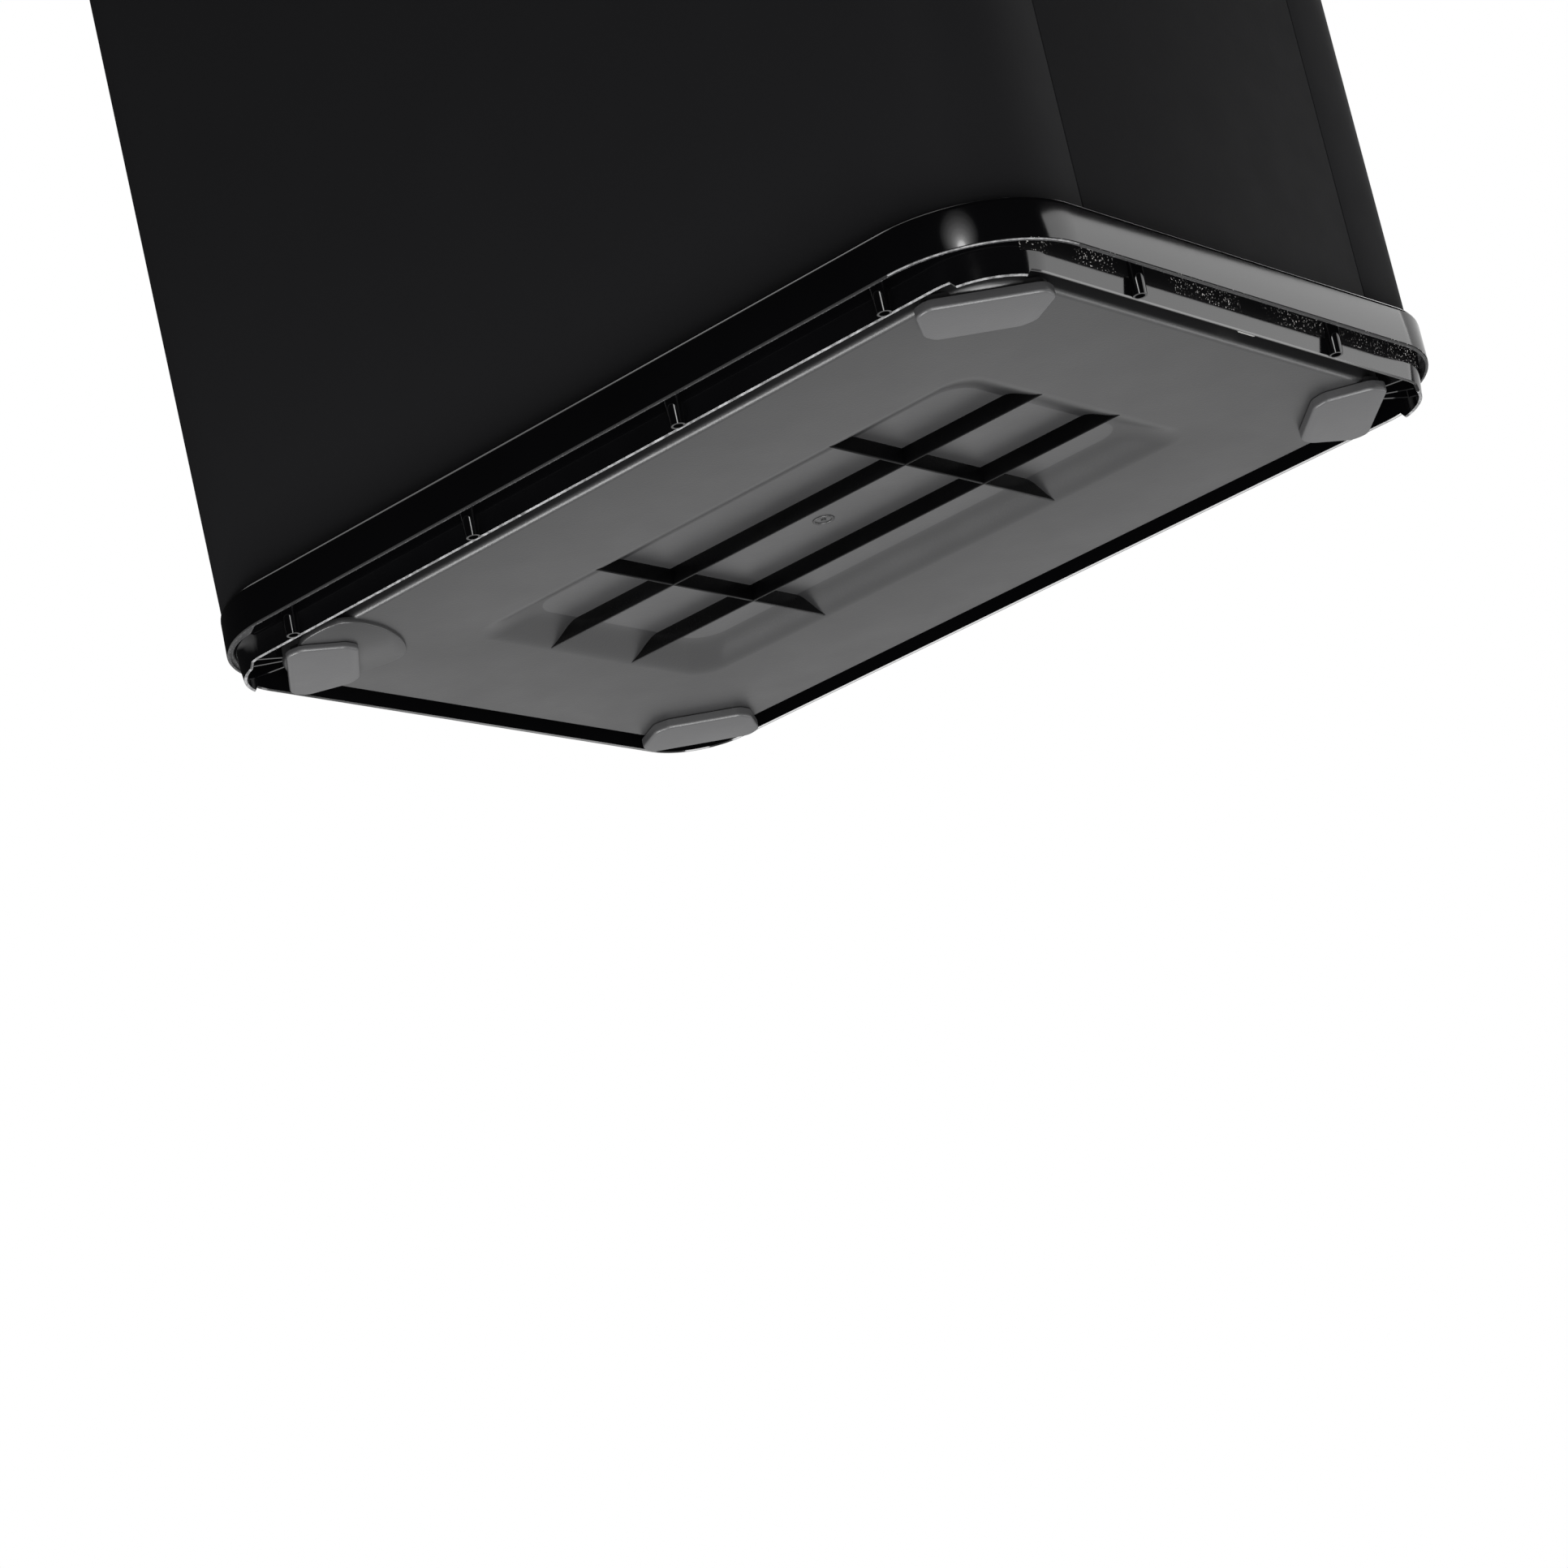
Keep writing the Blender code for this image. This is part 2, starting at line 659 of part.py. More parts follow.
def make_base_plate():
    inner = PLATE_BOTTOM + PLATE_THICKNESS
    top = FLANGE_BOTTOM - GAP
    floor_x = RECESS_HALF_X - RECESS_SLOPE
    floor_y = RECESS_HALF_Y - RECESS_SLOPE
    wall = PLATE_THICKNESS
    loops = [
        (floor_x, floor_y, RECESS_RADIUS, inner + RECESS_DEPTH),
        (RECESS_HALF_X, RECESS_HALF_Y, RECESS_RADIUS, inner),
        (PLATE_HALF_X - wall, PLATE_HALF_Y - wall, PLATE_RADIUS - wall, inner),
        (PLATE_HALF_X - wall, PLATE_HALF_Y - wall, PLATE_RADIUS - wall, top),
        (PLATE_HALF_X, PLATE_HALF_Y, PLATE_RADIUS, top),
        (PLATE_HALF_X, PLATE_HALF_Y, PLATE_RADIUS, PLATE_BOTTOM + PLATE_EDGE),
        (PLATE_HALF_X - PLATE_EDGE, PLATE_HALF_Y - PLATE_EDGE, PLATE_RADIUS - PLATE_EDGE, PLATE_BOTTOM),
        (RECESS_HALF_X, RECESS_HALF_Y, RECESS_RADIUS, PLATE_BOTTOM),
        (floor_x, floor_y, RECESS_RADIUS, PLATE_BOTTOM + RECESS_DEPTH),
    ]
    rings = [at_height(base_outline(hx, hy, radius), z) for hx, hy, radius, z in loops]
    base = loft("base_plate", rings, "dark_grey_plastic")
    low = PLATE_BOTTOM + 0.0001
    high = PLATE_BOTTOM + RECESS_DEPTH + PLATE_THICKNESS / 2
    half = RIB_THICKNESS / 2
    for side in (-1, 1):
        x, y = side * RIB_X, RING_Y + side * RIB_Y
        front, back = RING_Y - RECESS_HALF_Y, RING_Y + RECESS_HALF_Y
        add(base, box(f"long_rib_{side}", (x - half, front, low), (x + half, back, high)))
        add(base, box(f"cross_rib_{side}", (-RECESS_HALF_X, y - half, low), (RECESS_HALF_X, y + half, high)))
    for i, (sx, sy) in enumerate(quarters()):
        ear = foot_outline(sx, sy, shrink=0.002)
        add(base, plate(f"ear_{i}", [ear], PLATE_BOTTOM + 2 * COPLANAR, inner - COPLANAR))
    boss = [(x, RING_Y + y) for x, y in BOSS_OUTLINE]
    add(base, plate("foot_boss", [boss], PLATE_BOTTOM - BOSS_DEPTH, inner - 2 * COPLANAR))
    screw_bosses(base, base_screw_places(), inner - OVERLAP, top, -BASE_HOLE_DEPTH)


def quarters():
    return [(1, 1), (-1, 1), (-1, -1), (1, -1)]


def foot_outline(sx, sy, shrink=0.0):
    """A rounded bar across the corner of signs sx and sy, a little shorter on its inner side."""
    along = Vector((math.cos(FOOT_ANGLE), math.sin(FOOT_ANGLE)))
    across = Vector((-along.y, along.x))
    outer, inner = FOOT_OUTER - shrink, shrink - FOOT_INNER
    outer_half, inner_half = FOOT_OUTER_HALF - shrink, FOOT_INNER_HALF - shrink
    bar = [(-inner_half, inner), (inner_half, inner), (outer_half, outer), (-outer_half, outer)]
    points = [FOOT_CENTRE + along * p.x + across * p.y for p in rounded_corners(bar, FOOT_RADIUS)]
    return [(sx * p.x, RING_Y + sy * p.y) for p in points]


def rounded_corners(corners, radius, steps=4):
    """A convex anticlockwise polygon with each corner replaced by an arc that its sides touch."""
    points = []
    for i, corner in enumerate(corners):
        here = Vector(corner)
        before = (Vector(corners[i - 1]) - here).normalized()
        after = (Vector(corners[(i + 1) % len(corners)]) - here).normalized()
        half_turn = before.angle(after) / 2
        middle = here + (before + after).normalized() * radius / math.sin(half_turn)
        start = here + before * radius / math.tan(half_turn) - middle
        turns = [(math.pi - 2 * half_turn) * k / steps for k in range(steps + 1)]
        points += [middle + Matrix.Rotation(turn, 2) @ start for turn in turns]
    return points


def make_feet():
    names = ("foot_rear_right", "foot_rear_left", "foot_front_left", "foot_front_right")
    for name, (sx, sy) in zip(names, quarters()):
        on_boss = (sx, sy) == (1, -1)
        top = FOOT_TOP - BOSS_DEPTH if on_boss else FOOT_TOP
        loops = [
            at_height(foot_outline(sx, sy, shrink=FOOT_EDGE), 0.0),
            at_height(foot_outline(sx, sy), FOOT_EDGE),
            at_height(foot_outline(sx, sy), top),
        ]
        loft(name, loops, "rubber")


def screws(name, places, seat, length):
    """Identical screws. Each head sits against seat, and the shank goes on past it by length, up or down."""
    way = 1 if length > 0 else -1
    head_end = seat - way * SCREW_HEAD_HEIGHT
    for i, (x, y) in enumerate(places, start=1):
        screw = cylinder(f"{name}_{i}", SCREW_HEAD_RADIUS, (x, y, seat), (x, y, head_end), "steel", 12)
        shank_start = head_end + way * SCREW_HEAD_HEIGHT / 2
        start, end = (x, y, shank_start), (x, y, seat + length)
        add(screw, cylinder(f"{name}_shank_{i}", SCREW_RADIUS, start, end, sides=10))


# ---- casing ----


def casing_front(z):
    return RING_Y - RING_HALF_Y + CASING_INSET - FRONT_LEAN * (z - RING_TOP)


def casing_path(z):
    """The sheet's outer face at one height, from the left seam round the front to the right seam."""
    fx, fy = CASING_HALF_X - CASING_FRONT_RADIUS, casing_front(z) + CASING_FRONT_RADIUS
    bx, by = CASING_HALF_X - CASING_BACK_RADIUS, CASING_BACK - CASING_BACK_RADIUS
    path = [(-SEAM_X, CASING_BACK)]
    path += arc(-bx, by, CASING_BACK_RADIUS, 90, 180, CASING_STEPS)
    path += arc(-fx, fy, CASING_FRONT_RADIUS, 180, 270, CASING_STEPS)
    path += arc(fx, fy, CASING_FRONT_RADIUS, 270, 360, CASING_STEPS)
    path += arc(bx, by, CASING_BACK_RADIUS, 0, 90, CASING_STEPS)
    path.append((SEAM_X, CASING_BACK))
    return at_height(path, z)


def make_casing():
    bm = bmesh.new()
    rows = [[bm.verts.new(p) for p in casing_path(z)] for z in (CASING_BOTTOM, CASING_TOP)]
    low, high = rows
    for i in range(len(low) - 1):
        bm.faces.new((low[i], low[i + 1], high[i + 1], high[i]))
    casing = smooth(mesh_object("outer_casing", bm, "black_satin_paint"))
    wall = casing.modifiers.new("wall", "SOLIDIFY")
    wall.thickness = CASING_THICKNESS
    wall.offset = -1.0
    wall.use_even_offset = True


def make_back_panel():
    """A flush panel between the seams, with a joggled flange behind each edge of the casing."""
    edge = SEAM_X - GAP
    flange = SEAM_X + PANEL_FLANGE
    step = edge - PANEL_STEP
    skin = CASING_BACK - CASING_THICKNESS
    front = skin - GAP
    inner = front - CASING_THICKNESS
    joggle = [(flange, front), (flange, inner), (step, inner), (step, skin)]
    half = [(edge, CASING_BACK), (edge, front)] + joggle
    points = half + [(-x, y) for x, y in reversed(half)]
    plate("back_panel", [points[::-1]], CASING_BOTTOM, CASING_TOP, "black_satin_paint")


# ---- collar and rear housing ----


def make_collar():
    deck_bottom = CASING_TOP + GAP
    deck = [collar_outline(0), mouth_outline(0)]
    collar = plate("top_collar", deck, deck_bottom, COLLAR_TOP, "gloss_black_plastic")
    lip = [lip_outline(COLLAR_LIP_INSET), lip_outline(COLLAR_LIP_INSET + LIP_THICKNESS)]
    add(collar, plate("collar_lip", lip, COLLAR_LIP_BOTTOM, deck_bottom + 2 * OVERLAP))
    low = (-CATCH_HALF_X - GAP, CATCH_Y - CATCH_DEPTH / 2 - GAP, COLLAR_TOP - CATCH_HEIGHT - GAP)
    high = (CATCH_HALF_X + GAP, CATCH_Y + CATCH_DEPTH / 2 + GAP, COLLAR_TOP + OVERLAP)
    cut(collar, box("magnet_pocket", low, high))
    cut_screw_holes(collar, housing_screw_places(), deck_bottom, COLLAR_TOP)


def make_catch():
    low = (-CATCH_HALF_X, CATCH_Y - CATCH_DEPTH / 2, COLLAR_TOP - CATCH_HEIGHT)
    high = (CATCH_HALF_X, CATCH_Y + CATCH_DEPTH / 2, COLLAR_TOP)
    box("catch_magnet", low, high, "steel", bevel=CATCH_EDGE)
    strike_low = (low[0], low[1], COLLAR_TOP + CATCH_GAP)
    box("catch_strike", strike_low, (high[0], high[1], LINER_BOTTOM - GAP), "steel", bevel=CATCH_EDGE)


def make_seal():
    low = COLLAR_TOP + GAP
    outlines = [mouth_outline(SEAL_MARGIN + SEAL_WIDTH), mouth_outline(SEAL_MARGIN)]
    plate("mouth_seal", outlines, low, low + SEAL_HEIGHT, "rubber")


def make_buffers():
    low = COLLAR_TOP + GAP
    high = LID_BOTTOM - GAP
    places = [(sx * BUFFER_X, y) for sx in (-1, 1) for y in BUFFERS_Y]
    for i, (x, y) in enumerate(places, start=1):
        cylinder(f"lid_buffer_{i}", BUFFER_RADIUS, (x, y, low), (x, y, high), "rubber", 12)


def housing_screw_places():
    return [(sx * HOUSING_SCREW.x, HOUSING_SCREW.y) for sx in (-1, 1)]


def hinge_rod(name, radius, start_x, end_x, finish=None):
    return cylinder(name, radius, (start_x, HINGE_Y, HINGE_Z), (end_x, HINGE_Y, HINGE_Z), finish, 16)


def make_rear_housing():
    """A hollow cover fixed behind the mouth, which carries the hinge pin."""
    bottom = COLLAR_TOP + GAP
    finish = "gloss_black_plastic"
    housing = cover("rear_housing", housing_outline, bottom, LID_TOP, LID_EDGE, HOUSING_WALL, finish)
    pin_bore = hinge_rod("housing_bore", PIN_RADIUS + GAP, -PIN_HALF - GAP, PIN_HALF + GAP)
    end_knuckle = (KNUCKLE_END_FROM, KNUCKLE_END_TO)
    spans = ((-KNUCKLE_END_TO, -KNUCKLE_END_FROM), (-KNUCKLE_HALF, KNUCKLE_HALF), end_knuckle)
    for i, (start, end) in enumerate(spans):
        low = (start + COPLANAR, HINGE_Y, HINGE_Z - BARREL_RADIUS + OVERLAP)
        high = (end - COPLANAR, HOUSING_FRONT + HOUSING_WALL / 2, HINGE_Z + WEB_RISE)
        add(housing, hinge_rod(f"knuckle_{i}", BARREL_RADIUS, start, end), box(f"web_{i}", low, high))
    cut(housing, pin_bore)
    screw_bosses(housing, housing_screw_places(), bottom, LID_TOP - HOUSING_WALL / 2, HOUSING_HOLE_DEPTH)
    hinge_rod("hinge_pin", PIN_RADIUS, -PIN_HALF, PIN_HALF, "steel")


# ---- lid ----


def make_lid_shell():
    """A cover with an opening for the tray, and the hinge's barrels along its rear edge."""
    outer = cover_loops(lid_outline, LID_BOTTOM, LID_TOP, LID_EDGE)
    outer.append(at_height(tray_outline(TRAY_WALL + GAP), LID_TOP))
    inner = cover_loops(lid_outline, LID_BOTTOM, LID_TOP, LID_EDGE, LID_WALL)
    inner.append(at_height(tray_outline(TRAY_WALL + GAP), LID_TOP - LID_WALL))
    lid = loft("lid_shell", outer + inner[::-1], "gloss_black_plastic", ends="joined")
    clearance_radius = BARREL_RADIUS + KNUCKLE_CLEARANCE
    for side in (-1, 1):
        ends = sorted((side * ARM_FROM, side * ARM_TO))
        add(lid, hinge_rod(f"barrel_{side}", BARREL_RADIUS, *ends))
        low = (ends[0] + COPLANAR, HINGE_Y - ARM_REACH, HINGE_Z - BARREL_RADIUS + OVERLAP)
        high = (ends[1] - COPLANAR, HINGE_Y, HINGE_Z + BARREL_RADIUS - COPLANAR)
        add(lid, box(f"arm_{side}", low, high))
        end_knuckle = sorted((side * (KNUCKLE_END_FROM - OVERLAP), side * (KNUCKLE_END_TO + OVERLAP)))
        cut(lid, hinge_rod(f"end_clearance_{side}", clearance_radius, *end_knuckle))
    middle = KNUCKLE_HALF + OVERLAP
    cut(lid, hinge_rod("middle_clearance", clearance_radius, -middle, middle))
    cut(lid, hinge_rod("lid_bore", PIN_RADIUS + GAP, -PIN_HALF, PIN_HALF))
    screw_bosses(lid, lid_screw_places(), LINER_TOP + GAP, LID_TOP - LID_WALL / 2, LID_HOLE_DEPTH)


def make_lid_tray():
    """A pan for the folded grip, which fills the lid's opening."""
    under_floor = TRAY_FLOOR - TRAY_WALL
    loops = [
        at_height(tray_outline(-TRAY_TAPER), TRAY_FLOOR),
        at_height(tray_outline(0), LID_TOP),
        at_height(tray_outline(TRAY_WALL), LID_TOP),
        at_height(tray_outline(TRAY_WALL - TRAY_TAPER), under_floor),
    ]
    tray = loft("lid_tray", loops, "gloss_black_plastic")
    for side in (-1, 1):
        low, high = under_floor - OVERLAP, TRAY_FLOOR + OVERLAP
        cut(tray, rod_hole(f"tray_hole_{side}", side, BUSH_RADIUS + GAP, low, high))
        ends = sorted((side * (LOCK_HALF_X + GAP), side * (LOCK_HALF_X + LOCK_RAIL_WIDTH)))
        low = (ends[0], LOCK_FRONT - LOCK_RAIL_REACH, TRAY_FLOOR - OVERLAP)
        add(tray, box(f"lock_rail_{side}", low, (ends[1], LOCK_BACK + OVERLAP, LOCK_RAIL_TOP)))


def rod_hole(name, side, radius, low, high):
    return cylinder(name, radius, (side * ROD_X, ROD_Y, low), (side * ROD_X, ROD_Y, high), sides=24)


def lid_screw_places():
    return [(sx * x, y) for sx in (-1, 1) for x, y in LID_SCREWS]


def make_lid_liner():
    inset = LID_WALL + GAP
    front, back = FILTER_Y - FILTER_HALF_Y, FILTER_Y + FILTER_HALF_Y
    opening = outline(FILTER_HALF_X, front, back, FILTER_CORNER, FILTER_CORNER)
    liner = plate("lid_liner", [lid_outline(inset), opening], LINER_BOTTOM, LINER_TOP, "grey_plastic")
    for side in (-1, 1):
        low, high = LINER_BOTTOM - OVERLAP, LINER_TOP + OVERLAP
        cut(liner, rod_hole(f"liner_hole_{side}", side, BUSH_RADIUS + GAP, low, high))
    cut_screw_holes(liner, lid_screw_places(), LINER_BOTTOM, LINER_TOP)


def make_filter():
    front, back = FILTER_Y - FILTER_HALF_Y, FILTER_Y + FILTER_HALF_Y
    low = LINER_TOP + GAP
    outer = FILTER_HALF_X + CASSETTE_WALL
    cassette = box(
        "filter_cassette",
        (-outer, front - CASSETTE_WALL, low),
        (outer, back + CASSETTE_WALL, CASSETTE_TOP),
        "grey_plastic",
    )
    hollow_top = CASSETTE_TOP - CASSETTE_WALL
    hollow_low, hollow_high = (-FILTER_HALF_X, front, low - OVERLAP), (FILTER_HALF_X, back, hollow_top)
    cut(cassette, box("cassette_hollow", hollow_low, hollow_high))
    box(
        "carbon_filter",
        (-FILTER_HALF_X + FELT_INSET, front + FELT_INSET, LINER_BOTTOM + FELT_RISE),
        (FILTER_HALF_X - FELT_INSET, back - FELT_INSET, hollow_top - FELT_INSET),
        "carbon_felt",
        bevel=FELT_EDGE,
    )


def make_filter_cover():
    """A slotted door that swings down about its rear edge."""
    half_x = FILTER_HALF_X + COVER_MARGIN
    front = FILTER_Y - FILTER_HALF_Y - COVER_MARGIN
    back = FILTER_Y + FILTER_HALF_Y + COVER_MARGIN
    outlines = [outline(half_x, front, back, COVER_CORNER, COVER_CORNER)]
    pitch = 2 * FILTER_HALF_X / COVER_SLOTS
    for i in range(COVER_SLOTS):
        x = (i - (COVER_SLOTS - 1) / 2) * pitch
        slot = outline(SLOT_HALF_X, FILTER_Y - SLOT_HALF_Y, FILTER_Y + SLOT_HALF_Y, SLOT_CORNER, SLOT_CORNER)
        outlines.append([(x + px, py) for px, py in slot])
    plate("filter_cover", outlines, COVER_BOTTOM, COVER_TOP, "grey_plastic")


def make_bushes():
    bottom = BUSH_BOTTOM - TRAY_FLOOR
    inner = ROD_RADIUS + GAP
    profile = (
        (inner, GAP + BUSH_FLANGE_HEIGHT),
        (BUSH_FLANGE_RADIUS, GAP + BUSH_FLANGE_HEIGHT),
        (BUSH_FLANGE_RADIUS, GAP),
        (BUSH_RADIUS, GAP),
        (BUSH_RADIUS, bottom),
        (inner, bottom),
    )
    for side, name in ((-1, "rod_bush_left"), (1, "rod_bush_right")):
        turned(name, profile, (side * ROD_X, ROD_Y, TRAY_FLOOR), "acetal")


# ---- plunger ----


def make_press_plate():
    finish = "grey_plastic"
    press = cover("press_plate", inward_press, PRESS_BOTTOM, PRESS_TOP, PRESS_EDGE, PRESS_WALL, finish)
    rib_top = PRESS_TOP - PRESS_WALL / 2
    reach_y = PRESS_HALF_Y - PRESS_WALL / 2
    reach_x = PRESS_HALF_X - PRESS_WALL / 2
    half = PRESS_RIB_HALF
    for side in (-1, 1):
        x = side * ROD_X
        start, end = (x, ROD_Y, PRESS_TOP - OVERLAP), (x, ROD_Y, SOCKET_TOP)
        add(press, cylinder(f"socket_{side}", SOCKET_RADIUS, start, end))
        bore_radius = ROD_RADIUS + GAP
        cut(press, rod_hole(f"socket_bore_{side}", side, bore_radius, SOCKET_FLOOR, SOCKET_TOP + OVERLAP))
        way_bottom = PRESS_TOP - PRESS_RIB_HEIGHT
        cut(press, rod_hole(f"screw_way_{side}", side, SCREW_WAY_RADIUS, way_bottom, SOCKET_FLOOR + OVERLAP))
        x, y = side * PRESS_RIB_X, ROD_Y + side * PRESS_RIB_Y
        low = (x - half, ROD_Y - reach_y, PRESS_RIB_BOTTOM)
        add(press, box(f"press_long_rib_{side}", low, (x + half, ROD_Y + reach_y, rib_top)))
        low = (-reach_x, y - half, PRESS_RIB_BOTTOM + COPLANAR)
        add(press, box(f"press_cross_rib_{side}", low, (reach_x, y + half, rib_top - COPLANAR)))


def make_wiper():
    outlines = [press_outline(GAP + WIPER_WIDTH), press_outline(GAP)]
    plate("plate_wiper", outlines, WIPER_BOTTOM, WIPER_TOP, "rubber")


def make_rods():
    low = SOCKET_FLOOR + GAP
    high = HEAD_TOP - HEAD_WALL - GAP
    for side, name in ((-1, "plunger_rod_left"), (1, "plunger_rod_right")):
        x = side * ROD_X
        rod = cylinder(name, ROD_RADIUS, (x, ROD_Y, low), (x, ROD_Y, high), "steel", 24)
        cut(rod, rod_hole(f"rod_thread_{side}", side, SCREW_HOLE_RADIUS, low - OVERLAP, low + ROD_THREAD))


def make_head():
    head = box(
        "plunger_head",
        (-HEAD_HALF_X, ROD_Y - HEAD_HALF_Y, HEAD_BOTTOM),
        (HEAD_HALF_X, ROD_Y + HEAD_HALF_Y, HEAD_TOP),
        "gloss_black_plastic",
        bevel=HEAD_EDGE,
    )
    bore_low, bore_high = HEAD_BOTTOM - OVERLAP, HEAD_TOP - HEAD_WALL
    for side in (-1, 1):
        cut(head, rod_hole(f"head_bore_{side}", side, ROD_RADIUS + GAP, bore_low, bore_high))
        ends = sorted((side * (HEAD_HALF_X - PIN_DEPTH - GAP), side * (HEAD_HALF_X + OVERLAP)))
        cut(head, cross_rod(f"head_pin_bore_{side}", GRIP_PIN_RADIUS + GAP, *ends))
    half_x, back = TONGUE_HALF_X + TONGUE_PLAY, ROD_Y + HEAD_HALF_Y
    low = (-half_x, back - TONGUE_SLOT_DEPTH, TONGUE_BOTTOM - TONGUE_PLAY)
    high = (half_x, back + OVERLAP, TONGUE_TOP + TONGUE_PLAY)
    cut(head, box("tongue_slot", low, high))


def cross_rod(name, radius, start_x, end_x, finish=None):
    return cylinder(name, radius, (start_x, ROD_Y, GRIP_Z), (end_x, ROD_Y, GRIP_Z), finish, 12)


def make_grip():
    """A flat loop that folds up about its pins. At rest it lies towards the front, inside the lid's recess."""
    front = ROD_Y - GRIP_REACH
    corner = arc(GRIP_X - GRIP_CORNER, front + GRIP_CORNER, GRIP_CORNER, 0, -90, 5)
    half = [(GRIP_X, ROD_Y + GRIP_TAIL)] + corner
    path = half + [(-x, y) for x, y in reversed(half)]
    grip = tube("grip_handle", [(x, y, GRIP_Z) for x, y in path], GRIP_RADIUS, "gloss_black_plastic")
    for side in (-1, 1):
        ends = sorted((side * (GRIP_X - 2 * GRIP_RADIUS), side * (GRIP_X + PIN_REACH + GAP)))
        cut(grip, cross_rod(f"grip_pin_bore_{side}", GRIP_PIN_RADIUS + GAP, *ends))
    start, end = (-SLEEVE_HALF, front, GRIP_Z), (SLEEVE_HALF, front, GRIP_Z)
    sleeve = cylinder("grip_sleeve", SLEEVE_RADIUS, start, end, "rubber", 20)
    over = Vector((OVERLAP, 0, 0))
    cut(sleeve, cylinder("sleeve_bore", GRIP_RADIUS + GAP, Vector(start) - over, Vector(end) + over))
    for side, name in ((-1, "grip_pin_left"), (1, "grip_pin_right")):
        ends = sorted((side * (HEAD_HALF_X - PIN_DEPTH), side * (GRIP_X + PIN_REACH)))
        cross_rod(name, GRIP_PIN_RADIUS, *ends, "steel")


def make_lock():
    """A slide that pushes its tongue into the head, so that the plunger can't rise."""
    lock = box(
        "lock_slide",
        (-LOCK_HALF_X, LOCK_FRONT, TRAY_FLOOR + GAP),
        (LOCK_HALF_X, LOCK_BACK, LOCK_TOP),
        "grey_plastic",
        bevel=LOCK_EDGE,
    )
    low = (-TONGUE_HALF_X, TONGUE_FRONT, TONGUE_BOTTOM)
    add(lock, box("tongue", low, (TONGUE_HALF_X, LOCK_FRONT + 3 * OVERLAP, TONGUE_TOP)))


# ---- bucket ----


def bucket_outline(share, margin=0.0):
    """The bucket's outer face at a share of its height, from its foot to its mouth."""
    half_x, front, back = (a + (b - a) * share for a, b in zip(BUCKET_FOOT, BUCKET_MOUTH))
    radius = BUCKET_RADIUS + margin
    return outline(half_x + margin, front - margin, back + margin, radius, radius)


def bucket_share(z):
    return (z - BUCKET_BOTTOM) / (BUCKET_RIM - BUCKET_BOTTOM)


def bucket_loop(z, margin):
    return at_height(bucket_outline(bucket_share(z), margin), z)


def make_bucket():
    floor = BUCKET_BOTTOM + BUCKET_WALL
    loops = [
        at_height(bucket_outline(0, -BUCKET_EDGE), BUCKET_BOTTOM),
        at_height(bucket_outline(0), BUCKET_BOTTOM + BUCKET_EDGE),
        bucket_loop(BUCKET_SPLIT, 0.0),
        bucket_loop(BUCKET_SPLIT, -BUCKET_WALL),
        at_height(bucket_outline(0, -BUCKET_WALL), floor + BUCKET_EDGE),
        at_height(bucket_outline(0, -BUCKET_EDGE - BUCKET_WALL), floor),
    ]
    loft("inner_bucket", loops, "grey_plastic")


def make_bucket_rim():
    """A ring over the bucket's top edge, with a finger hole in each side."""
    top = BUCKET_RIM + BUCKET_WALL
    seat = BUCKET_SPLIT + GAP
    outside = GAP + RIM_WALL
    loops = [
        bucket_loop(RIM_BOTTOM, outside),
        at_height(bucket_outline(1, outside), BUCKET_RIM),
        at_height(bucket_outline(1, RIM_WIDTH), BUCKET_RIM),
        at_height(bucket_outline(1, RIM_WIDTH), top),
        at_height(bucket_outline(1, -BUCKET_WALL), top),
        bucket_loop(seat, -BUCKET_WALL),
        bucket_loop(seat, GAP),
        bucket_loop(RIM_BOTTOM, GAP),
    ]
    rim = loft("bucket_rim", loops, "grey_plastic", ends="joined")
    half_length, half_height = FINGER_HOLE
    for side in (-1, 1):
        ends = sorted((side * FINGER_HOLE_FROM, side * FINGER_HOLE_TO))
        low = (ends[0], ROD_Y - half_length, FINGER_HOLE_Z - half_height)
        high = (ends[1], ROD_Y + half_length, FINGER_HOLE_Z + half_height)
        cut(rim, box(f"finger_hole_{side}", low, high))


def make_fasteners():
    screws("base_screw", base_screw_places(), FLANGE_TOP + GAP, BASE_SCREW_LENGTH)
    screws("housing_screw", housing_screw_places(), CASING_TOP, HOUSING_SCREW_LENGTH)
    screws("lid_screw", lid_screw_places(), LINER_BOTTOM - GAP, LID_SCREW_LENGTH)
    rod_places = [(side * ROD_X, ROD_Y) for side in (-1, 1)]
    screws("rod_screw", rod_places, PRESS_TOP - PRESS_WALL - GAP, ROD_SCREW_LENGTH)


def main():
    start_scene()
    make_base_ring()
    make_base_plate()
    make_feet()
    make_casing()
    make_back_panel()
    make_collar()
    make_catch()
    make_seal()
    make_buffers()
    make_rear_housing()
    make_lid_shell()
    make_lid_tray()
    make_lid_liner()
    make_filter()
    make_filter_cover()
    make_bushes()
    make_press_plate()
    make_wiper()
    make_rods()
    make_head()
    make_grip()
    make_lock()
    make_bucket()
    make_bucket_rim()
    make_fasteners()


main()
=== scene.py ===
"""Studio scene of the trash compactor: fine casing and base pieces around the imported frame,
procedural finishes, a soft studio and a camera that looks up at the rear right corner.
Metres, +Z up, front towards -Y."""

import json
import math

import bmesh
import bpy
from mathutils import Matrix, Vector

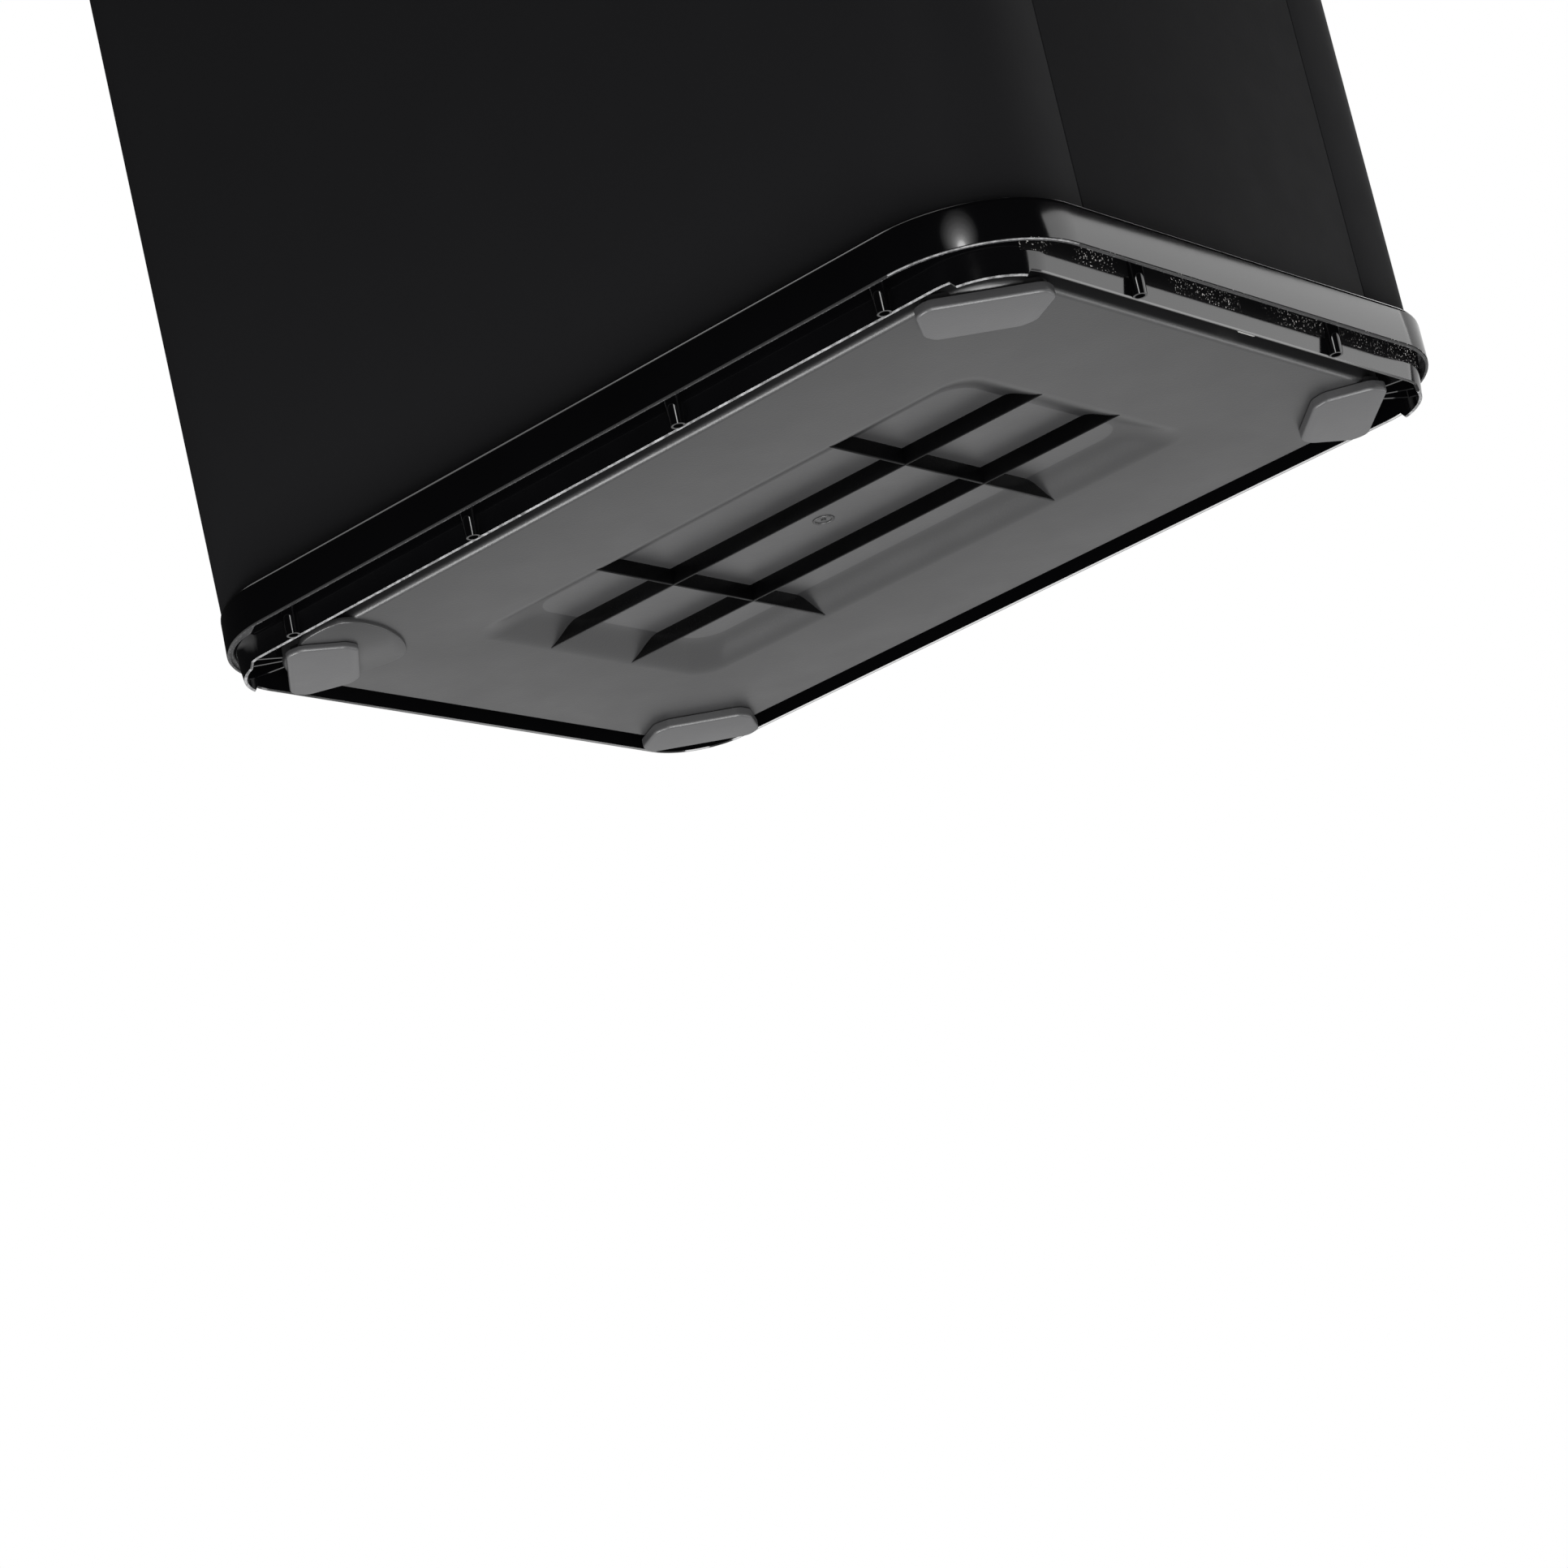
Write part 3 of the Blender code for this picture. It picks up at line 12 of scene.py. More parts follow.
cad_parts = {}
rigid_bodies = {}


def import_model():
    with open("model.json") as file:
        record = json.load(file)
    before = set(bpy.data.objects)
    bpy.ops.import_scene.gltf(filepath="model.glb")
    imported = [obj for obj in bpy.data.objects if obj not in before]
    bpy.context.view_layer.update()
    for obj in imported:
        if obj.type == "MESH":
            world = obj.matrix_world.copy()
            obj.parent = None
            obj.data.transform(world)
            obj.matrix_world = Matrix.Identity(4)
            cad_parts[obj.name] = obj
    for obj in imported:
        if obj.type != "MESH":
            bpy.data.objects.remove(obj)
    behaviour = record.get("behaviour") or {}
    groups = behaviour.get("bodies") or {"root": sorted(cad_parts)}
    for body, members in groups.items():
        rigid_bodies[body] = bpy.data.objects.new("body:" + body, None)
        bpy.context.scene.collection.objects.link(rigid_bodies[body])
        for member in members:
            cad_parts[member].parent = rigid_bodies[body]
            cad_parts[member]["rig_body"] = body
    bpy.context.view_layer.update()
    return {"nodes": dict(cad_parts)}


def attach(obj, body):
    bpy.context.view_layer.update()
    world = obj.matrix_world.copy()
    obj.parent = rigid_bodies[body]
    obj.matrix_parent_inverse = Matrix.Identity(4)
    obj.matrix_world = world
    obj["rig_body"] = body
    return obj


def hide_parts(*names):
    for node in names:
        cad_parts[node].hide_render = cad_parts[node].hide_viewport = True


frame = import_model()

GAP = 0.0003  # between neighbours that touch
OVERLAP = 0.001  # of a piece into the one that carries it
WELD = 0.00002  # distance under which the frame's loose corners are merged
FLAT_DEGREES = 1.0  # angle under which the frame's neighbouring faces are merged
MM_PER_METRE = 1000
CORNERS = ((1, 1), (-1, 1), (-1, -1), (1, -1))  # signs, from the rear right one round

# Base ring
RING_Y = 0.010
RING_HALF_X = 0.1508
RING_HALF_Y = 0.210
RING_RADIUS = 0.0485
RING_BOTTOM = 0.0118
RING_TOP = 0.0284
RING_EDGE = 0.0008
RING_TOP_EDGE = 0.0018
LIP_INSET = 0.0065
LIP_THICKNESS = 0.0025
LIP_TOP = 0.040
LIP_EDGE = 0.0004
FLANGE_INSET = 0.034
FLANGE_BOTTOM = 0.022
FLANGE_TOP = 0.025
SKIRT_INSET = 0.0092
SKIRT_THICKNESS = 0.0013
SKIRT_TAPER = 0.0024  # its outer face leans out by this much up to the groove's top
SKIRT_RADIUS = 0.029  # tighter than the ring's own corners
SKIRT_BOTTOM = 0.0031
CORNER_SKIRT_BOTTOM = 0.0009
CORNER_SKIRT_FROM = 16.0  # degrees round each corner
CORNER_SKIRT_TO = 74.0
SKIRT_EDGE = 0.00045
DUST_FROM = 0.0100  # height above which dust has gathered on the rear of the skirt
DUST_SHARE = 0.46  # of the skirt's taper at that height
REARWARD = 0.9  # least share of +Y in the normal of a dusty face
EDGE_UP = -0.6  # most share of +Z in the normal of a face on the skirt's lower edge
GROOVE_UP = -0.5  # the same in the groove
CORNER_HIGHLIGHT_UP = (-0.9, -0.3)  # its range on the rear right corner's lower edge, painted pale as a highlight
CORNER_STEPS = 24
GROOVE_INSET = 0.0013  # of the groove between the ring's outer wall and the skirt
GROOVE_DEPTH = 0.0058
CORNER_GROOVE_DEPTH = 0.0008
WEB_ANGLES = (30, 47, 75)  # thin webs inside each corner of the skirt
WEB_REACH = (0.0085, 0.0272)
WEB_HALF = 0.0005
CLIP_LOW = (-0.0215, 0.2040, 0.0068)
CLIP_HIGH = (-0.0110, 0.2062, 0.0120)
CLIP_EDGE = 0.0006
BEAD_FOOT = 0.0027
BEAD_HEAD = 0.0037
BEAD_WALL = 0.0008
BEAD_RISE = 0.0002  # of its foot above the skirt's lower edge
BEAD_INSET = 0.0072
BEAD_STEPS = 48
BEADS_LONG_SIDE = (0.0528, 0.1519)  # distances from the side's middle
BEADS_REAR = 0.0613

# Base plate
PLATE_HALF_X = 0.1302
PLATE_HALF_Y = 0.1903
PLATE_RADIUS = 0.030
PLATE_BOTTOM = 0.0043
PLATE_THICKNESS = 0.0024
PLATE_EDGE = 0.0025
PLATE_EDGE_STEPS = 6
RECESS_HALF_X = 0.0704
RECESS_HALF_Y = 0.130
RECESS_RADIUS = 0.012
RECESS_DEPTH = 0.0068
RECESS_SLOPE = 0.0188
RECESS_STEPS = 10
RIB_X = 0.0238
RIB_Y = 0.0606
RIB_THICKNESS = 0.0013
RIB_EDGE = 0.0003
RIB_SINK = 0.0002  # of a rib's lower edge above the plate's face
RIB_ROOT = 0.0006  # of a rib into the recess's floor
RIB_STEP = 0.0001  # between the long ribs' lower edges and the cross ribs'
GATE_RADIUS = 0.0038
GATE_TUBE = 0.0006
GATE_STEPS = 12
NUB_SECTION = ((0.0012, 0.0004), (0.001, -0.0005))  # radius, and height over the recess's floor
ROUND_STEPS = 24
PAD_HEIGHT = 0.0015
PAD_STEPS = 6
PAD_OUTLINE = (  # millimetres, from the middle of the ring
    (136, -154), (136, -139), (130, -133), (119, -132.5), (108, -135), (95, -141), (85, -150),
    (84, -160), (92, -176), (106, -181), (119, -176), (128, -167),
)
PAD_SECTION = (  # inset, and height over the pad's face
    (0.0, PAD_HEIGHT + OVERLAP), (0.0, 0.0005), (0.0002, 0.0002), (0.0006, 0.0),
)

# Feet
FOOT_CENTRE = Vector((0.112, 0.171))
FOOT_ANGLE = math.radians(-45)
FOOT_CORNERS = (  # millimetres along the foot, and outward across it
    (-15, -15.5), (16.5, -15.5), (21, -11), (25.5, 7), (21.5, 12.8), (-21.5, 12.8), (-25.5, 6), (-20.5, -12),
)
FOOT_RADIUS = 0.006
FOOT_CORNER_STEPS = 6
FOOT_TOP = PLATE_BOTTOM - GAP
FOOT_EDGE = 0.0013
FOOT_EDGE_STEPS = 5
EAR_SHRINK = 0.002

# Casing
CASING_INSET = 0.0042
CASING_THICKNESS = 0.0008
CASING_BOTTOM = RING_TOP + GAP
CASING_TOP = 0.596
CASING_EDGE = 0.0004
CASING_SOFT = CASING_EDGE * 0.3  # how far the middle of a rounded edge lies from its corner
CASING_STEPS = 20
CASING_FRONT_RADIUS = 0.036
CASING_BACK_RADIUS = 0.0435
CASING_HALF_X = RING_HALF_X - CASING_INSET
CASING_BACK = RING_Y + RING_HALF_Y - CASING_INSET
FRONT_LEAN = 0.0405  # of the front, outward per metre of height
SEAM_X = 0.0882
PANEL_FLANGE = 0.0118
PANEL_STEP = 0.002

# Base colours
CASING_BLACK = (0.0074, 0.0074, 0.0079)
GLOSS_BLACK = (0.0012, 0.0012, 0.0014)
GRAIN_MEAN = (0.012, 0.012, 0.0125)  # shown where the grain's pattern is not
GRAIN_BLACK = (0.010, 0.010, 0.0105)
# Pale specks painted as highlights where the grain catches the light.
GRAIN_PAINTED_GLINT = (0.060, 0.060, 0.062)
GROOVE_BLACK = (0.0020, 0.0020, 0.0022)
DUST = (0.45, 0.44, 0.43)
# Darker than the plate's black: painted shade on the ribs' sides in the recess.
RIB_PAINTED_SHADE = (0.0010, 0.0010, 0.0011)
# Pale: partly wear, partly a painted highlight, on the skirt's lower edge and on the ring's rear right lower
# edge.
WEAR_AND_HIGHLIGHT_GREY = (0.12, 0.12, 0.122)
PLATE_BLACK = (0.010, 0.010, 0.0104)
# Lighter than the plate's black: painted light on the recess's floor, in place of the shade from its walls.
RECESS_PAINTED_LIGHT_BLACK = (0.022, 0.022, 0.0225)
FOOT_GREY = (0.033, 0.033, 0.034)
CLIP_GREY = (0.16, 0.16, 0.155)
INNER_GREY = (0.15, 0.155, 0.16)
BUCKET_GREY = (0.13, 0.135, 0.14)
LOCK_GREY = (0.30, 0.30, 0.31)
BUSH_WHITE = (0.62, 0.62, 0.60)
RUBBER_BLACK = (0.018, 0.018, 0.018)
FELT_BLACK = (0.013, 0.013, 0.014)
STEEL_GREY = (0.56, 0.56, 0.575)
PAPER_GREY = (0.35, 0.35, 0.345)

# Camera and stage
CAMERA_PLACE = Vector((1.40528, 1.05586, -0.64377))
CAMERA_RIGHT = Vector((-0.65020, 0.73233, -0.20231))
CAMERA_UP = Vector((0.10223, 0.34819, 0.93183))
CAMERA_LENS = 110.71
CAMERA_SENSOR = 36.0
FLOOR_HALF = 6.0
FLOOR_Z = -0.0004
FLOOR_GLOW = 0.80
STUDIO_MIDDLE = Vector((0.0, RING_Y, 0.05))
STUDIO_RADIUS = 3.0
LIGHT_BELOW = 0.76
LIGHT_ABOVE = 0.012
HORIZON_SOFTNESS = 0.06
SOFTBOXES = (  # name, azimuth and elevation in degrees, width and height in metres, radiance
    ("back_box", 131, 13, 2.5, 1.3, 2.3),
    ("far_side_box", 182, 20, 3.0, 0.8, 0.8),
    ("low_corner_box", 38, -40, 2.0, 2.2, 4.5),
    ("edge_box", 197, 42, 1.9, 1.2, 3.0),
    ("right_edge_box", -70, 52, 1.4, 1.2, 1.3),
    ("side_strip", -59, -49, 1.6, 1.0, 15.0),
    ("foot_strip", 66, -68, 1.4, 1.4, 15.0),
    ("rear_strip", 155, -34, 1.2, 0.8, 4.0),
    ("top_box", 250, 80, 2.4, 2.4, 1.4),
)
GLOW_RADIANCE = (8.0, 1.5, 0.8, 0.5, 0.35, 0.25)  # nested lights, from the brightest middle out
GLOW_AZIMUTH = 36.0
GLOW_ELEVATION = 13.5  # of the first; each next one is a degree higher
GLOW_SIZE = (0.3, 0.22)  # width and height of the first
GLOW_GROWTH = (0.22, 0.17)  # of width and height, from each to the next


# ---- mesh helpers ----


def linked(name, bm, sharp_from=35):
    """Makes a shaded object of the bmesh, smooth but for edges sharper than an angle in degrees."""
    bmesh.ops.recalc_face_normals(bm, faces=bm.faces)
    mesh = bpy.data.meshes.new(name)
    bm.to_mesh(mesh)
    bm.free()
    mesh.shade_smooth()
    mesh.set_sharp_from_angle(angle=math.radians(sharp_from))
    obj = bpy.data.objects.new(name, mesh)
    bpy.context.scene.collection.objects.link(obj)
    return obj


def skin(bm, rows, wrap=True, join_ends=False, cap_sides=False):
    """Faces between rows of points. wrap closes each row. join_ends joins the last row to the first.
    cap_sides closes both ends of rows that are not wrapped."""
    made = [[bm.verts.new(point) for point in row] for row in rows]
    pairs = list(zip(made, made[1:]))
    if join_ends:
        pairs.append((made[-1], made[0]))
    count = len(made[0])
    for low, high in pairs:
        for i in range(count if wrap else count - 1):
            j = (i + 1) % count
            bm.faces.new((low[i], low[j], high[j], high[i]))
    if cap_sides:
        bm.faces.new([row[0] for row in made])
        bm.faces.new([row[-1] for row in made])
    return made


def closed_loft(bm, rows):
    made = skin(bm, rows)
    bm.faces.new(made[0])
    bm.faces.new(made[-1])


def arc(x, y, radius, start, end, steps):
    angles = [math.radians(start + (end - start) * i / steps) for i in range(steps + 1)]
    return [(x + radius * math.cos(a), y + radius * math.sin(a)) for a in angles]


def circle(x, y, radius, steps):
    return arc(x, y, radius, 0, 360 - 360 / steps, steps - 1)


def centred(half_x, half_y, radius, steps=16):
    """A rounded rectangle about the ring's middle, anticlockwise from its front right corner."""
    x, low, high = half_x - radius, RING_Y - half_y + radius, RING_Y + half_y - radius
    return (
        arc(x, low, radius, -90, 0, steps)
        + arc(x, high, radius, 0, 90, steps)
        + arc(-x, high, radius, 90, 180, steps)
        + arc(-x, low, radius, 180, 270, steps)
    )


def at_height(points, z):
    return [(x, y, z) for x, y in points]


def rounded(corners, radii, steps=4):
    """A path through corner points, each rounded by its radius."""
    path = []
    for i, (corner, radius) in enumerate(zip(corners, radii)):
        here = Vector(corner)
        if not radius:
            path.append(tuple(here))
            continue
        before = (Vector(corners[i - 1]) - here).normalized()
        after = (Vector(corners[(i + 1) % len(corners)]) - here).normalized()
        reach = radius / math.tan(before.angle(after) / 2)
        start, end = here + before * reach, here + after * reach
        for k in range(steps + 1):
            t = k / steps
            point = start * (1 - t) ** 2 + here * 2 * t * (1 - t) + end * t**2
            path.append(tuple(point))
    return path


def quarter_turn(steps):
    """How far in and how far up the points of a quarter circle of radius 1 lie, from the top down."""
    turns = [math.pi / 2 * i / steps for i in range(steps + 1)]
    return [(1 - math.cos(turn), 1 - math.sin(turn)) for turn in turns]


def eased(t):
    return t * t * (3 - 2 * t)


def block(bm, low, high, edge):
    """A box whose upright and level edges are all rounded."""
    size = Vector(high) - Vector(low)
    middle = (Vector(high) + Vector(low)) / 2
    matrix = Matrix.Translation(middle) @ Matrix.Diagonal((*size, 1.0))
    made = bmesh.ops.create_cube(bm, size=1.0, matrix=matrix)
    edges = {side for vert in made["verts"] for side in vert.link_edges}
    bmesh.ops.bevel(bm, geom=list(edges), offset=edge, segments=2, profile=0.5, affect="EDGES")


# ---- procedural finishes ----


class Finish:
    """A Principled material with its grain, colour variation and roughness variation made of nodes."""

    def __init__(self, name, colour, roughness, metallic=0.0, specular=0.5):
        self.material = bpy.data.materials.new(name)
        self.material.use_nodes = True
        self.tree = self.material.node_tree
        self.shader = self.tree.nodes["Principled BSDF"]
        self.colour = colour
        self.roughness = roughness
        self.shader.inputs["Base Color"].default_value = (*colour, 1.0)
        self.shader.inputs["Roughness"].default_value = roughness
        self.shader.inputs["Metallic"].default_value = metallic
        self.shader.inputs["Specular IOR Level"].default_value = specular
        self.place = self.tree.nodes.new("ShaderNodeTexCoord").outputs["Object"]
        self.bumps = []

    def link(self, output, target):
        self.tree.links.new(output, target)

    def stretched(self, scale):
        mapping = self.tree.nodes.new("ShaderNodeMapping")
        mapping.inputs["Scale"].default_value = scale
        self.link(self.place, mapping.inputs["Vector"])
        return mapping.outputs["Vector"]

    def noise(self, scale, detail=3.0, stretch=None):
        node = self.tree.nodes.new("ShaderNodeTexNoise")
        node.inputs["Scale"].default_value = scale
        node.inputs["Detail"].default_value = detail
        self.link(self.stretched(stretch) if stretch else self.place, node.inputs["Vector"])
        return node.outputs["Fac"]

    def cells(self, scale):
        node = self.tree.nodes.new("ShaderNodeTexVoronoi")
        node.inputs["Scale"].default_value = scale
        self.link(self.place, node.inputs["Vector"])
        return node.outputs["Distance"]

    def ranged(self, value, low, high, from_low=0.3, from_high=0.7):
        node = self.tree.nodes.new("ShaderNodeMapRange")
        node.inputs["From Min"].default_value = from_low
        node.inputs["From Max"].default_value = from_high
        node.inputs["To Min"].default_value = low
        node.inputs["To Max"].default_value = high
        self.link(value, node.inputs["Value"])
        return node.outputs["Result"]

    def product(self, first, second):
        node = self.tree.nodes.new("ShaderNodeMath")
        node.operation = "MULTIPLY"
        self.link(first, node.inputs[0])
        self.link(second, node.inputs[1])
        return node.outputs[0]

    def coloured(self, pattern, colours, places):
        """Runs the base colour between two colours, over the given part of a pattern's range."""
        ramp = self.tree.nodes.new("ShaderNodeValToRGB")
        for stop, colour, place in zip(ramp.color_ramp.elements, colours, places):
            stop.position = place
            stop.color = (*colour, 1.0)
        self.link(pattern, ramp.inputs["Fac"])
        self.link(ramp.outputs["Color"], self.shader.inputs["Base Color"])

    def shaded(self, pattern, darker, lighter):
        """Varies the base colour between two multiples of it, along a pattern."""
        colours = [[channel * share for channel in self.colour] for share in (darker, lighter)]
        self.coloured(pattern, colours, places=(0.3, 0.7))

    def roughened(self, pattern, spread):
        low, high = self.roughness - spread, self.roughness + spread
        self.link(self.ranged(pattern, low, high), self.shader.inputs["Roughness"])

    def bumped(self, pattern, depth):
        """Adds relief of the given depth in metres. Several are stacked."""
        node = self.tree.nodes.new("ShaderNodeBump")
        node.inputs["Strength"].default_value = 1.0
        node.inputs["Distance"].default_value = depth
        self.link(pattern, node.inputs["Height"])
        if self.bumps:
            self.link(self.bumps[-1].outputs["Normal"], node.inputs["Normal"])
        self.bumps.append(node)
        self.link(node.outputs["Normal"], self.shader.inputs["Normal"])


def casing_paint():
    made = Finish("casing_paint", CASING_BLACK, roughness=0.46, specular=0.02)
    made.shaded(made.noise(scale=9.0), darker=0.96, lighter=1.04)
    made.roughened(made.noise(scale=60.0), spread=0.02)
    made.bumped(made.noise(scale=700.0, detail=2.0), depth=0.00002)
    made.bumped(made.noise(scale=2600.0, detail=1.0), depth=0.000006)
    return made.material


def gloss_plastic(name, roughness=0.07):
    made = Finish(name, GLOSS_BLACK, roughness)
    made.shaded(made.noise(scale=14.0), darker=0.8, lighter=1.25)
    made.roughened(made.noise(scale=90.0), spread=roughness / 10)
    made.bumped(made.noise(scale=160.0, detail=2.0), depth=0.000002)
    return made.material


def painted_glint_plastic():
    """Spark-eroded mould finish: dark, with pale specks painted into its colour as highlights where its
    grain catches the light.
    """
    made = Finish("grained_ledge_glints", GRAIN_MEAN, roughness=0.55, specular=0.35)
    specks = made.noise(scale=1900.0, detail=1.0)
    # The pale specks are painted highlights.
    made.coloured(specks, (GRAIN_BLACK, GRAIN_PAINTED_GLINT), places=(0.57, 0.66))
    made.roughened(made.noise(scale=300.0), spread=0.1)
    made.bumped(made.cells(scale=1500.0), depth=0.00006)
    return made.material


def dusty_plastic():
    """Black with pale specks of dust, in patches."""
    made = Finish("groove_dust", GROOVE_BLACK, roughness=0.5, specular=0.05)
    fine, coarse = made.noise(scale=1400.0, detail=1.0), made.noise(scale=38.0, detail=2.0)
    specks = made.ranged(fine, low=0.0, high=1.0, from_low=0.64, from_high=0.70)
    patches = made.ranged(coarse, low=0.0, high=1.0, from_low=0.42, from_high=0.60)
    made.coloured(made.product(specks, patches), (GROOVE_BLACK, DUST), places=(0.0, 1.0))
    made.roughened(made.noise(scale=90.0), spread=0.03)
    made.bumped(made.noise(scale=160.0, detail=2.0), depth=0.000005)
    return made.material


def rib_painted_shade_plastic():
    """The ribs' polished sides, painted darker than the grained plate as shade in the recess."""
    made = Finish("rib_sides_painted_shade", RIB_PAINTED_SHADE, roughness=0.3, specular=0.05)
    made.shaded(made.noise(scale=40.0), darker=0.7, lighter=1.3)
    made.roughened(made.noise(scale=200.0), spread=0.06)
    made.bumped(made.noise(scale=500.0, detail=2.0), depth=0.00001)
    return made.material


def worn_and_highlit_edge():
    """The skirt's scuffed lower edge: rough and pale, partly from wear and partly a painted highlight."""
    made = Finish("skirt_edge_wear_with_highlight", WEAR_AND_HIGHLIGHT_GREY, roughness=0.6, specular=0.35)
    made.shaded(made.noise(scale=420.0, detail=4.0), darker=0.3, lighter=1.8)
    made.roughened(made.noise(scale=300.0), spread=0.15)
    made.bumped(made.noise(scale=900.0), depth=0.0002)
    return made.material


def moulded_plastic(name, colour, roughness, grain=1400.0, spread=0.06):
    """Grained plastic. grain is the fine pattern's scale, and spread how much its shade varies."""
    made = Finish(name, colour, roughness)
    made.shaded(made.noise(scale=7.0, detail=4.0), darker=1.0 - spread, lighter=1.0 + spread)
    made.roughened(made.noise(scale=45.0), spread / 2)
    made.bumped(made.noise(grain, detail=2.0), depth=0.00003)
    made.bumped(made.cells(grain * 0.6), depth=0.000018)
    return made.material


def rubber(name):
    made = Finish(name, RUBBER_BLACK, roughness=0.8, specular=0.3)
    made.shaded(made.noise(scale=25.0, detail=4.0), darker=0.8, lighter=1.3)
    made.roughened(made.noise(scale=120.0), spread=0.08)
    made.bumped(made.noise(scale=1800.0), depth=0.00005)
    return made.material


def felt():
    made = Finish("filter_felt", FELT_BLACK, roughness=0.97, specular=0.1)
    made.shaded(made.noise(scale=300.0, detail=5.0), darker=0.5, lighter=1.9)
    made.bumped(made.noise(scale=900.0, detail=5.0, stretch=(1.0, 1.0, 0.3)), depth=0.0004)
    made.shader.inputs["Sheen Weight"].default_value = 0.25
    return made.material


def brushed_steel(name, stretch, roughness=0.3):
    """Metal with its grain along the axis on which stretch is small."""
    made = Finish(name, STEEL_GREY, roughness, metallic=1.0)
    made.shaded(made.noise(scale=30.0), darker=0.9, lighter=1.08)
    grain = made.noise(scale=500.0, stretch=stretch)
    made.roughened(grain, spread=0.08)
    made.bumped(grain, depth=0.00001)
    return made.material


# ---- base pieces ----


def ring_outline(inset):
    return centred(RING_HALF_X - inset, RING_HALF_Y - inset, RING_RADIUS - inset, CORNER_STEPS)


def skirt_outline(inset):
    radius = SKIRT_RADIUS + SKIRT_INSET - inset
    return centred(RING_HALF_X - inset, RING_HALF_Y - inset, radius, CORNER_STEPS)


def stepped(points, middle, elsewhere, start, end, corners):
    """Gives a loop one height round the middle of its first corners, and another elsewhere."""
    row = []
    for i, (x, y) in enumerate(points):
        corner, step = divmod(i, CORNER_STEPS + 1)
        low = corner < corners and start < 90.0 * step / CORNER_STEPS < end
        row.append((x, y, middle if low else elsewhere))
    return row


def skirt_row(inset, rise=0.0):
    """The skirt's lower edge, which hangs lower round every corner but the front left one."""
    heights = (CORNER_SKIRT_BOTTOM + rise, SKIRT_BOTTOM + rise)
    return stepped(skirt_outline(inset), *heights, CORNER_SKIRT_FROM, CORNER_SKIRT_TO, corners=3)


def groove_row(points):
    """The top of the groove, which is shallow round the front right corner only."""
    heights = (RING_BOTTOM + CORNER_GROOVE_DEPTH, RING_BOTTOM + GROOVE_DEPTH)
    return stepped(points, *heights, 0.0, 90.0, corners=1)


def ring_section():
    """Inset and height of the ring's section, from its groove out, up and back to its inner face."""
    inner_lip = LIP_INSET + LIP_THICKNESS
    corners = [
        (GROOVE_INSET, RING_BOTTOM),
        (0.0, RING_BOTTOM),
        (0.0, RING_TOP),
        (LIP_INSET, RING_TOP),
        (LIP_INSET, LIP_TOP),
        (inner_lip, LIP_TOP),
        (inner_lip, FLANGE_TOP),
        (FLANGE_INSET, FLANGE_TOP),
        (FLANGE_INSET, FLANGE_BOTTOM),
    ]
    lip = [0, LIP_EDGE, LIP_EDGE]
    return rounded(corners, [0, RING_EDGE, RING_TOP_EDGE, *lip, *lip])


def ring_piece():
    bm = bmesh.new()
    inner = SKIRT_INSET + SKIRT_THICKNESS
    rows = [groove_row(skirt_outline(SKIRT_INSET - SKIRT_TAPER)), groove_row(ring_outline(GROOVE_INSET))]
    rows += [at_height(ring_outline(inset), z) for inset, z in ring_section()]
    rows += [
        at_height(skirt_outline(inner), FLANGE_BOTTOM),
        skirt_row(inner, SKIRT_EDGE),
        skirt_row(inner - SKIRT_EDGE),
        skirt_row(SKIRT_INSET + SKIRT_EDGE),
        skirt_row(SKIRT_INSET, SKIRT_EDGE),
        at_height(skirt_outline(SKIRT_INSET - SKIRT_TAPER * DUST_SHARE), DUST_FROM),
    ]
    skin(bm, rows, join_ends=True)
    ring = linked("base_ring_shell", bm, sharp_from=28)
    gloss = gloss_plastic("ring_gloss", roughness=0.1)
    for finish in (gloss, painted_glint_plastic(), worn_and_highlit_edge(), dusty_plastic()):
        ring.data.materials.append(finish)
    for face in ring.data.polygons:
        face.material_index = ring_finish(face)
    return ring


def ring_finish(face):
    """A face's place in the ring's list of finishes: gloss, the groove's grain with painted glints, scuffs
    with painted highlights, dust.
    """
    gloss, grain, highlit_wear, dusty = range(4)
    x, y, z = face.center
    rearward, up = face.normal.y, face.normal.z
    # The skirt's lower edge is pale round the low corners and along the right side: partly wear, partly a
    # painted highlight.
    if z < SKIRT_BOTTOM + SKIRT_EDGE and up < EDGE_UP:
        hangs_low = z < (SKIRT_BOTTOM + CORNER_SKIRT_BOTTOM) / 2
        on_right = x > RING_HALF_X - SKIRT_INSET - 2 * SKIRT_THICKNESS
        return highlit_wear if hangs_low or on_right else gloss
    if DUST_FROM < z < RING_BOTTOM + GROOVE_DEPTH and y > RING_Y and rearward > REARWARD:
        return dusty
    # The rear right corner's lower edge is painted pale: a painted highlight.
    near_corner = x > RING_HALF_X - RING_RADIUS and y > RING_Y + RING_HALF_Y - RING_RADIUS
    if near_corner and RING_BOTTOM < z < RING_BOTTOM + RING_EDGE and CORNER_HIGHLIGHT_UP[0] < up < CORNER_HIGHLIGHT_UP[1]:
        return highlit_wear
    in_groove = RING_BOTTOM < z < RING_BOTTOM + GROOVE_DEPTH + RING_EDGE
    inside = ring_inset(face.center) > GROOVE_INSET / 2
    return grain if in_groove and up < GROOVE_UP and inside else gloss


def ring_inset(point):
    """How far a point lies inside the ring's outer face."""
    x = abs(point.x) - (RING_HALF_X - RING_RADIUS)
    y = abs(point.y - RING_Y) - (RING_HALF_Y - RING_RADIUS)
    if x > 0 and y > 0:
        return RING_RADIUS - math.hypot(x, y)
    return RING_RADIUS - max(x, y)


